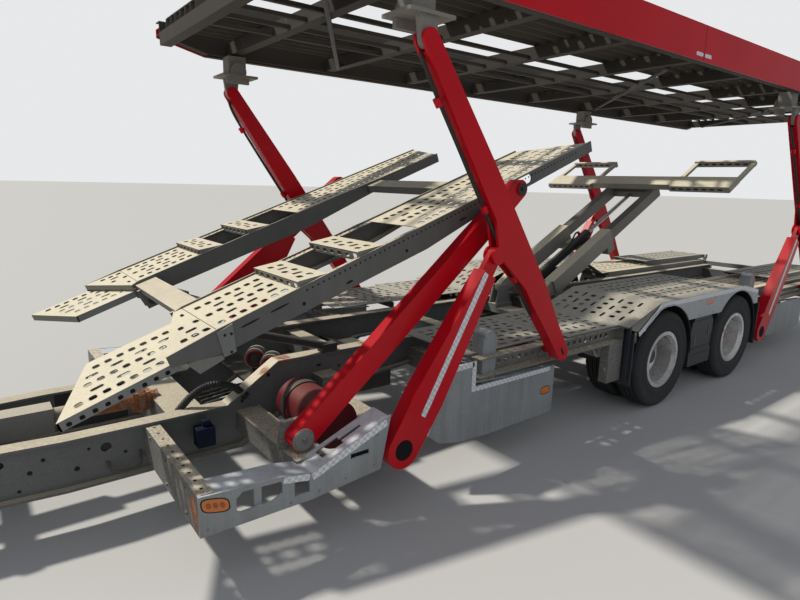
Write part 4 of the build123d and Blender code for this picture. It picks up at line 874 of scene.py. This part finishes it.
def deck_tread(u0, u1, v0, v1):
    """Strips of the wheel decks' pattern: columns of wide holes at a pitch near 0.0865 and between them
    columns of slots at one near 0.13, both spread evenly between u0 and u1, and a plain border on both sides."""
    hole, slot = (0.0185, 0.0225), (0.036, 0.0115)
    strips, edges = [], np.linspace(v0 + 0.065, v1 - 0.012, 9)
    for k in range(8):
        size, pitch = (slot, 0.130) if k % 2 else (hole, 0.0865)
        count = max(int((u1 - u0 - 0.04) / pitch), 1)
        margin = (u1 - u0 - count * pitch) / 2
        lines_at, pattern = [u0, u1], np.zeros((1, 1, 2))
        if u1 - u0 > pitch + 0.02:
            lines_at = np.r_[u0, u0 + margin + pitch * np.arange(count + 1), u1]
            pattern = np.zeros((count + 2, 1, 2))
            pattern[1:-1] = size
        strips.append((lines_at, edges[k:k + 2], pattern))
    return strips + [([u0, u1], [v0, edges[0]], NONE), ([u0, u1], [edges[-1], v1], NONE)]


def prism(name, outline, y0, y1, body, material, soften=0.0015):
    """Plate with a side view outline (x, z) from y0 to y1: both ends are one flat face each."""
    ends = [[[(x, y, z) for x, z in outline]] for y in (y0, y1)]
    return solids(name, *ends, body, material, soften)


def arch(x, radius, low, high, count):
    """Side view arc about a hub at x: points x - radius cos t, hub height + radius sin t, from low to high
    degrees."""
    turn = np.radians(np.linspace(low, high, count))
    return [(x - radius * math.cos(t), HUB + radius * math.sin(t)) for t in turn]


for s, side in SIDES:
    for k, (u0, u1, v1) in enumerate([(0.0, 0.90, 1.090), (0.905, FOLDS[1], 1.172),
                                      *[(FOLDS[n], FOLDS[n + 1], DECK_OUT) for n in range(1, 5)]]):
        border = v1 if k < 2 else v1 - 0.070
        strips = deck_tread(u0, u1, DECK_IN, border)
        if k >= 2:
            strips.append(([u0, u1], [border, v1], NONE))
        punched(f"wheel_deck_{k}_{side}", strips, lambda u, v, w, s=s: on_hump(u, v * s, w), "trailer",
                shade_zinc, "wheel_decks", 0.006)
    outline = [(0.432, 0.690), (0.120, 0.8875), (-1.361, 0.8875), (-1.690, 0.826), (-1.712, 0.690)]
    outline += arch(AXLES[1], 0.45, 40.1, 139.9, 25) + arch(AXLES[0], 0.45, 40.1, 139.9, 25)
    skirt = prism("skirt_" + side, outline, s * 1.2635, s * 1.2735, "trailer", skirt_paint, 0.001)
    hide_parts("wheel_decks")
    for k, x in enumerate(AXLES):
        ring = arch(x, 0.4575, 182.5, -2.5, 38) + arch(x, 0.4515, -2.5, 182.5, 38)
        liner = prism(f"wheel_liner_{k}_{side}", ring, s * 0.774, s * 1.2625, "trailer", rubber_hose, 0.0)
        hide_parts("wheel_decks")
        prism(f"arch_edge_{k}_{side}", arch(x, 0.464, 139, 41, 30) + arch(x, 0.452, 41, 139, 30), s * 1.2660,
              s * 1.2746, "trailer", skirt_paint, 0.0008)
    fold = [(0.125, 1.2625, 0.885), (0.556, 1.172, 0.744), (0.432, 1.2625, 0.694)]
    solids("deck_fold_" + side, *[[[(x, s * (y - d), z - d) for x, y, z in fold]] for d in (0.0, 0.004)],
           "trailer", shade_zinc)
    band = [(0.432, 0.672), (0.120, 0.867), (-1.361, 0.873), (-1.690, 0.807)]
    marks("skirt_band_" + side, [side_band(*a, *b, 0.019, SKIRT_OUT, s) for a, b in zip(band[:-1], band[1:])],
          "trailer", white_tape, power=0.1, proud=0.0006)
    marks("skirt_lamp_" + side, [side_spot(-0.690, SKIRT_OUT, 0.808, 0.062, 0.024, s)], "trailer", amber,
          proud=0.0012, power=0.8)
    marks("skirt_plugs_" + side, [side_spot(x, SKIRT_OUT, z, 0.006, 0.006, s)
                                  for x, z in [(-0.50, 0.84), (-0.78, 0.84), (-0.52, 0.71), (-0.76, 0.71)]],
          "trailer", hole_black, power=1.0, proud=0.0005)
    bars("hump_beams_" + side, [(x - 0.02, s * 0.44, z - 0.055, x + 0.02, s * 1.09, z - 0.012) for x, z in
                                ((1.50, 0.742), (0.95, 0.742), (-0.10, 0.884), (-0.64, 0.884), (-1.20, 0.884))],
         "trailer", black_steel)

# Tool boxes and mud flaps: black moulded boxes with louvres and latches between the wheels, rubber flaps
# on black posts.
box_black = finish("box_plastic", (0.014, 0.020, 0.028), shade=0.08, grain=0.06, dust=0.15, dust_top=0.8,
                   roughness=0.45, bump=0.06, fine=160.0)
paint(box_black, "tool_boxes")
for s, side in SIDES:
    bars("box_louvres_" + side, [(-0.80, s * 1.258, z, -0.48, s * 1.264, z + 0.012) for z in (0.34, 0.40)],
         "trailer", box_black, 0.002)
    bars("box_latches_" + side, [(x - 0.005, s * 1.258, z, x + 0.005, s * 1.264, z + 0.09)
                                 for x, z in ((-0.52, 0.44), (-0.76, 0.50))], "trailer", grey_steel, 0.003)
    bars("box_lid_line_" + side, [(-0.815, s * 1.2582, 0.652, -0.465, s * 1.2592, 0.656)], "trailer",
         hole_black, 0.0)
    bars("flap_posts_" + side, [(x - 0.012, s * 1.205, 0.30, x + 0.012, s * 1.235, 0.73)
                                for x in (0.482, -1.808)], "trailer", box_black, 0.002)

# Wheels: silver rims with rust that gathers round the hubs, and twin road tyres with four grooves, shoulder
# blocks and ribbed side walls.
# Rim paint: brown patches gather within 0.185 m of each hub.
rim_paint = finish("rim_paint", (0.58, 0.58, 0.57), shade=0.30, grain=0.02, rust=0.55, roughness=0.26,
                   metallic=0.4, bump=0.0, fine=20.0,
                   knocks=[(x, y, HUB, 0.185) for x in AXLES for y in (1.12, -1.12)])
tyre_black = finish("tyre_rubber", (0.011, 0.013, 0.016), shade=0.10, grain=0.08, dust=0.14, dust_top=0.8,
                    roughness=0.78, bump=0.15, fine=120.0)
TYRE_SIDES = 144
half = [(-0.0875, 0.207), (-0.0875, 0.226), (-0.090, 0.240), (-0.097, 0.243), (-0.102, 0.262),
        (-0.1045, 0.285), (-0.1030, 0.288), (-0.1048, 0.310), (-0.1033, 0.345), (-0.1045, 0.348),
        (-0.100, 0.372), (-0.094, 0.386), (-0.086, 0.3935), (-0.080, 0.397), (-0.066, 0.3985),
        (-0.0655, 0.386), (-0.0585, 0.386), (-0.058, 0.3992), (-0.025, 0.3996), (-0.0245, 0.387),
        (-0.0165, 0.387), (-0.016, 0.3998), (0.0, 0.3998)]
section = np.array(half + [(-a, r) for a, r in half[-2::-1]] + half[:1])


def tyre_points(x, mid):
    """The section's (across, radius) pairs turned about the hub; two blocks in three stand out at the shoulders
    and every third is 7 mm lower."""
    turn = np.linspace(0, 2 * np.pi, TYRE_SIDES, endpoint=False)
    off, radius = section.T[:, :, None]
    shoulder = (radius > 0.376) & (np.abs(off) > 0.068)
    radius = radius - 0.007 * (shoulder & (np.arange(TYRE_SIDES) % 3 == 0))
    return np.stack(np.broadcast_arrays(x + radius * np.cos(turn), mid + off, HUB + radius * np.sin(turn)), -1)


for key, x, s in [(f"{which}_{side}", x, s) for which, x in zip(("front", "rear"), AXLES) for s, side in SIDES]:
    paint(rim_paint, "rims_" + key)
    body = "wheels_" + key
    for k, mid in enumerate((1.1655, 0.8945)):
        tyre = add_mesh(f"tyre_{k}_{key}", tyre_points(x, s * mid), ring_faces(len(section), TYRE_SIDES), body,
                        tyre_black, smooth=True)
        tyre.modifiers.new("sharp_edges", "EDGE_SPLIT").split_angle = math.radians(38)
        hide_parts("tyres_" + key)
    # Hub cap: its dark colour paints the shade deep in the rim dish, with some rust.
    hub_shade_and_rust = finish("hub_shade_and_rust_" + key, (0.06, 0.055, 0.05), rust=0.3, roughness=0.5, bump=0.1)
    turned("hub_cap_" + key, (x, s * 1.150, HUB), (0, s, 0),
           [(0, 0.062), (0.012, 0.060), (0.020, 0.052), (0.022, 0.0)], body, hub_shade_and_rust)

# Running gear: round axles, hangers and air springs in black steel and rubber; the springs are bellows
# with deep folds.
paint(black_steel, "axles", "suspension", "oil_tank")
t = np.linspace(0, 1, 25)
bellows = np.stack([0.520 + 0.150 * t, 0.096 + 0.008 * np.cos(t * 6 * np.pi)], 1)
for k, x in enumerate(AXLES):
    for s, side in SIDES:
        turned(f"air_spring_{k}_{side}", (x - 0.290, s * 0.490, 0.0), (0, 0, 1), bellows, "trailer",
               rubber_hose, 36)

# Air tank: a welded steel cylinder in red paint darkened with painted shade, under road dust. Two black straps
# hold it across the frame beside the left rail, and a small drain tap hangs below it.
# Tank red: base darkened to near black as painted shade; the lighter top colour is dust with painted light.
tank_shade_red = finish("dusty_tank_red", (0.11, 0.005, 0.010), shade=0.2, grain=0.06, dust=0.3,
                  lit_dusty_top=(0.17, 0.045, 0.04), roughness=0.5, specular=0.2, bump=0.05)
paint(tank_shade_red, "air_tank")
for k, y in enumerate((0.588, 0.858)):
    turned(f"tank_strap_{k}", (2.930, y, 0.465), (0, 1, 0),
           [(0, 0.136), (0, 0.1425), (0.044, 0.1425), (0.044, 0.136)], "trailer", black_steel, 64)
turned("tank_drain", (2.930, 0.70, 0.334), (0, 0, -1), [(0, 0.012), (0.020, 0.012), (0.020, 0)], "trailer",
       chrome, 16)

# Hydraulics between the rails: a blue valve block, a black corrugated hose in an arc over the frame and
# two red ringed cable drums on a shelf under the platform.
# Valve blue: darkened to near black as painted shade over its blue paint.
blue = finish("blue_valve_paint_in_shade", (0.004, 0.008, 0.030), shade=0.15, grain=0.1, rust=0.1, roughness=0.6,
              specular=0.2, bump=0.1)
bars("valve_block", [(3.43, 0.44, 0.30, 3.53, 0.52, 0.41), (3.45, 0.455, 0.41, 3.49, 0.495, 0.445)], "trailer",
     blue, 0.004)
pipe("corrugated_hose", [(3.60, 0.30, 0.42), (3.50, 0.34, 0.545), (3.40, 0.37, 0.600), (3.28, 0.39, 0.575),
                         (3.20, 0.41, 0.50)], 0.021, "trailer", rubber_hose, 14, rib=0.003, rib_pitch=0.014)
DRUM_WAY = (0.55, 0.83, 0.0)
# The drum rings share the tank's red, darkened with painted shade.
drum_parts = [("cable_drum", [(-0.050, 0.0), (-0.050, 0.066), (-0.040, 0.066), (-0.040, 0.045), (0.020, 0.045),
                              (0.020, 0.066), (0.028, 0.066), (0.028, 0.050)], grey_steel, 36),
              ("drum_ring", [(0.029, 0.055), (0.034, 0.057), (0.038, 0.052), (0.038, 0.040), (0.032, 0.036)],
               tank_shade_red, 36),
              ("drum_hub", [(0.024, 0.050), (0.026, 0.050), (0.027, 0.022), (0.036, 0.020), (0.036, 0.0)],
               black_steel, 24)]
for k, (x, y) in enumerate(((3.02, 0.130), (2.99, 0.300))):
    for part, profile, material, sides in drum_parts:
        turned(f"{part}_{k}", (x, y, 0.640), DRUM_WAY, profile, "trailer", material, sides)
    bars(f"drum_stand_{k}", [(x - 0.03, y - 0.02, 0.50, x + 0.03, y + 0.02, 0.60)], "trailer", black_steel)
bars("drum_shelf", [(2.93, -0.372, 0.485, 3.10, 0.372, 0.505)], "trailer", black_steel)
for k in range(4):
    y = 0.30 - 0.035 * k
    pipe(f"frame_line_{k}", [(3.42, y, 0.46 + 0.01 * k), (2.9, y, 0.52), (2.2, y + 0.02, 0.60),
                             (0.6, y + 0.01, 0.60), (-2.4, y, 0.60), (-4.1, y, 0.60)], 0.0085, "trailer",
         rubber_hose, 8)

# Rear deck and ramps: punched runways on channels and cross beams; the ramps are punched leaves on three
# ribs, lying forward on the deck.
DECK_REAR, DECK_FRONT = -4.290, -1.800
rib_outline = [(-4.400, 0.775), (-4.380, 0.7675), (-4.300, 0.7625), (-2.900, 0.7625), (-2.736, 0.800),
               (-2.736, 0.811), (-4.380, 0.811), (-4.400, 0.805)]
for s, side in SIDES:
    punched("rear_tread_" + side, tread(DECK_REAR, DECK_FRONT, 0.4305, 1.0395),
            lambda u, v, w, s=s: np.stack([u, v * s, 0.750 + w], -1), "trailer", dusty_zinc, "rear_deck", 0.006)
    channels = [(y, y + wide, top) for wide, top, both in
                ((0.007, 0.743, (0.4305, 1.0325)), (0.045, 0.647, (0.4305, 0.9945))) for y in both]
    channel = bars("rear_channels_" + side, [(DECK_REAR, s * y0, 0.640, DECK_FRONT, s * y1, top)
                                             for y0, y1, top in channels], "trailer", grey_steel)
    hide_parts("rear_deck")
    beams = bars("rear_beams_" + side, [(x - 0.039, s * 0.430, 0.661, x + 0.039, s * 1.030, 0.734)
                                        for x in (-1.95, -2.60, -3.30, -4.00, -4.24)], "trailer", grey_steel)
    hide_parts("rear_deck")
    body, node = side + "_ramp", "ramp_" + side
    punched("ramp_top_" + side, tread(-4.338, -2.736, 0.491, 0.989),
            lambda u, v, w, s=s: np.stack([u, v * s, 0.8165 + w], -1), body, shade_zinc, node, 0.006, 0.001)
    for k, y in enumerate((0.4915, 0.7355, 0.9805)):
        rib = prism(f"ramp_rib_{k}_{side}", rib_outline, s * y, s * (y + 0.009), body, grey_steel)
        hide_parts(node)
    pin = turned("ramp_pin_" + side, (-4.385, s * 0.481, 0.790), (0, s, 0),
                 [(0, 0), (0, 0.0138), (0.518, 0.0138), (0.518, 0)], body, black_steel, 24)
    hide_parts(node)

# Tail bar: a grey steel beam under the rear end. Each end carries red and amber lamps on a black housing
# and a pale board above them, and a blank plate sits in the middle.
red_lens = finish("red_lens", (0.42, 0.008, 0.010), roughness=0.15, coat=0.4, bump=0.0)
for s, side in SIDES:
    for part, (x0, y0, z0, x1, y1, z1), material, soften in (
            ("lamp_housing_", (-4.372, 0.86, 0.425, -4.360, 1.20, 0.520), box_black, 0.004),
            ("tail_lamp_", (-4.380, 0.87, 0.435, -4.370, 1.03, 0.510), red_lens, 0.004),
            ("turn_lamp_", (-4.380, 1.04, 0.435, -4.370, 1.19, 0.510), amber, 0.004),
            ("rear_board_", (-4.3562, 0.80, 0.674, -4.3552, 1.14, 0.726), white_tape, 0.0)):
        bars(part + side, [(x0, s * y0, z0, x1, s * y1, z1)], "trailer", material, soften)
bars("number_plate", [(-4.366, -0.26, 0.415, -4.360, 0.26, 0.525)], "trailer", white_tape, 0.002)

# Wheel support boom: dull zinc tubes with darker inner tubes, a black lift barrel with a red fitting and a
# chrome rod, and zinc cradles with slotted flanges.
SUPPORT, LEAN = np.array([0.330, 0.790]), math.radians(28.3)
UP_S, BACK_S = np.array([math.sin(LEAN), 0, math.cos(LEAN)]), np.array([-math.cos(LEAN), 0, math.sin(LEAN)])
# Support tube zinc: the pale top colour paints sunlight on the tube tops, with dust.
tube_zinc = finish("support_tube_zinc", (0.24, 0.23, 0.205), shade=0.08, grain=0.07, spangle=0.05, rust=0.06,
                   lit_dusty_top=(0.64, 0.58, 0.44), roughness=0.65, metallic=0.1, bump=0.15)
inner_steel = finish("inner_tube_steel", (0.16, 0.155, 0.14), shade=0.12, grain=0.08, rust=0.12, roughness=0.5,
                     metallic=0.3, bump=0.12)
paint(tube_zinc, "support_tubes", "wheel_cradles")
paint(inner_steel, "support_carriage")
paint(black_steel, "support_barrel")


def on_support(u, y, w):
    """u up the boom from its pin, y across, w square to it."""
    x = SUPPORT[0] - u * math.cos(LEAN) + w * math.sin(LEAN)
    return (x, y, SUPPORT[1] + u * math.sin(LEAN) + w * math.cos(LEAN))


turned("lift_rod", on_support(1.112, 0, -0.010), BACK_S, [(0.0, 0.0195), (0.82, 0.0195)], "wheel_carriage",
       chrome, 24)
turned("lift_gland", on_support(1.075, 0, -0.010), BACK_S,
       [(0, 0.0455), (0.022, 0.0455), (0.026, 0.040), (0.026, 0.022)], "support_boom", black_steel, 32)
turned("lift_fitting", on_support(0.98, 0, 0.030), UP_S,
       [(0, 0.014), (0.030, 0.014), (0.030, 0.009), (0.045, 0.009), (0.045, 0)], "support_boom", red_gloss, 16)
pipe("lift_hose", [on_support(0.98, 0, 0.072), on_support(0.90, 0.02, 0.095), on_support(0.75, 0.05, 0.065),
                   on_support(0.45, 0.06, 0.055), on_support(0.20, 0.05, 0.045)], 0.0085, "support_boom",
     rubber_hose, 8)
# The flat black marks paint the shade in the cradle flanges' slots.
for s, side in SIDES:
    marks("cradle_slots_" + side, [[on_support(u - 0.0003, s * y, 0.086), (0, -0.024, 0), UP_S * 0.0085]
                                   for u in (1.900, 2.440) for y in np.arange(0.505, 1.02, 0.075)],
          "wheel_carriage", hole_black, power=0.6, proud=0.0006)
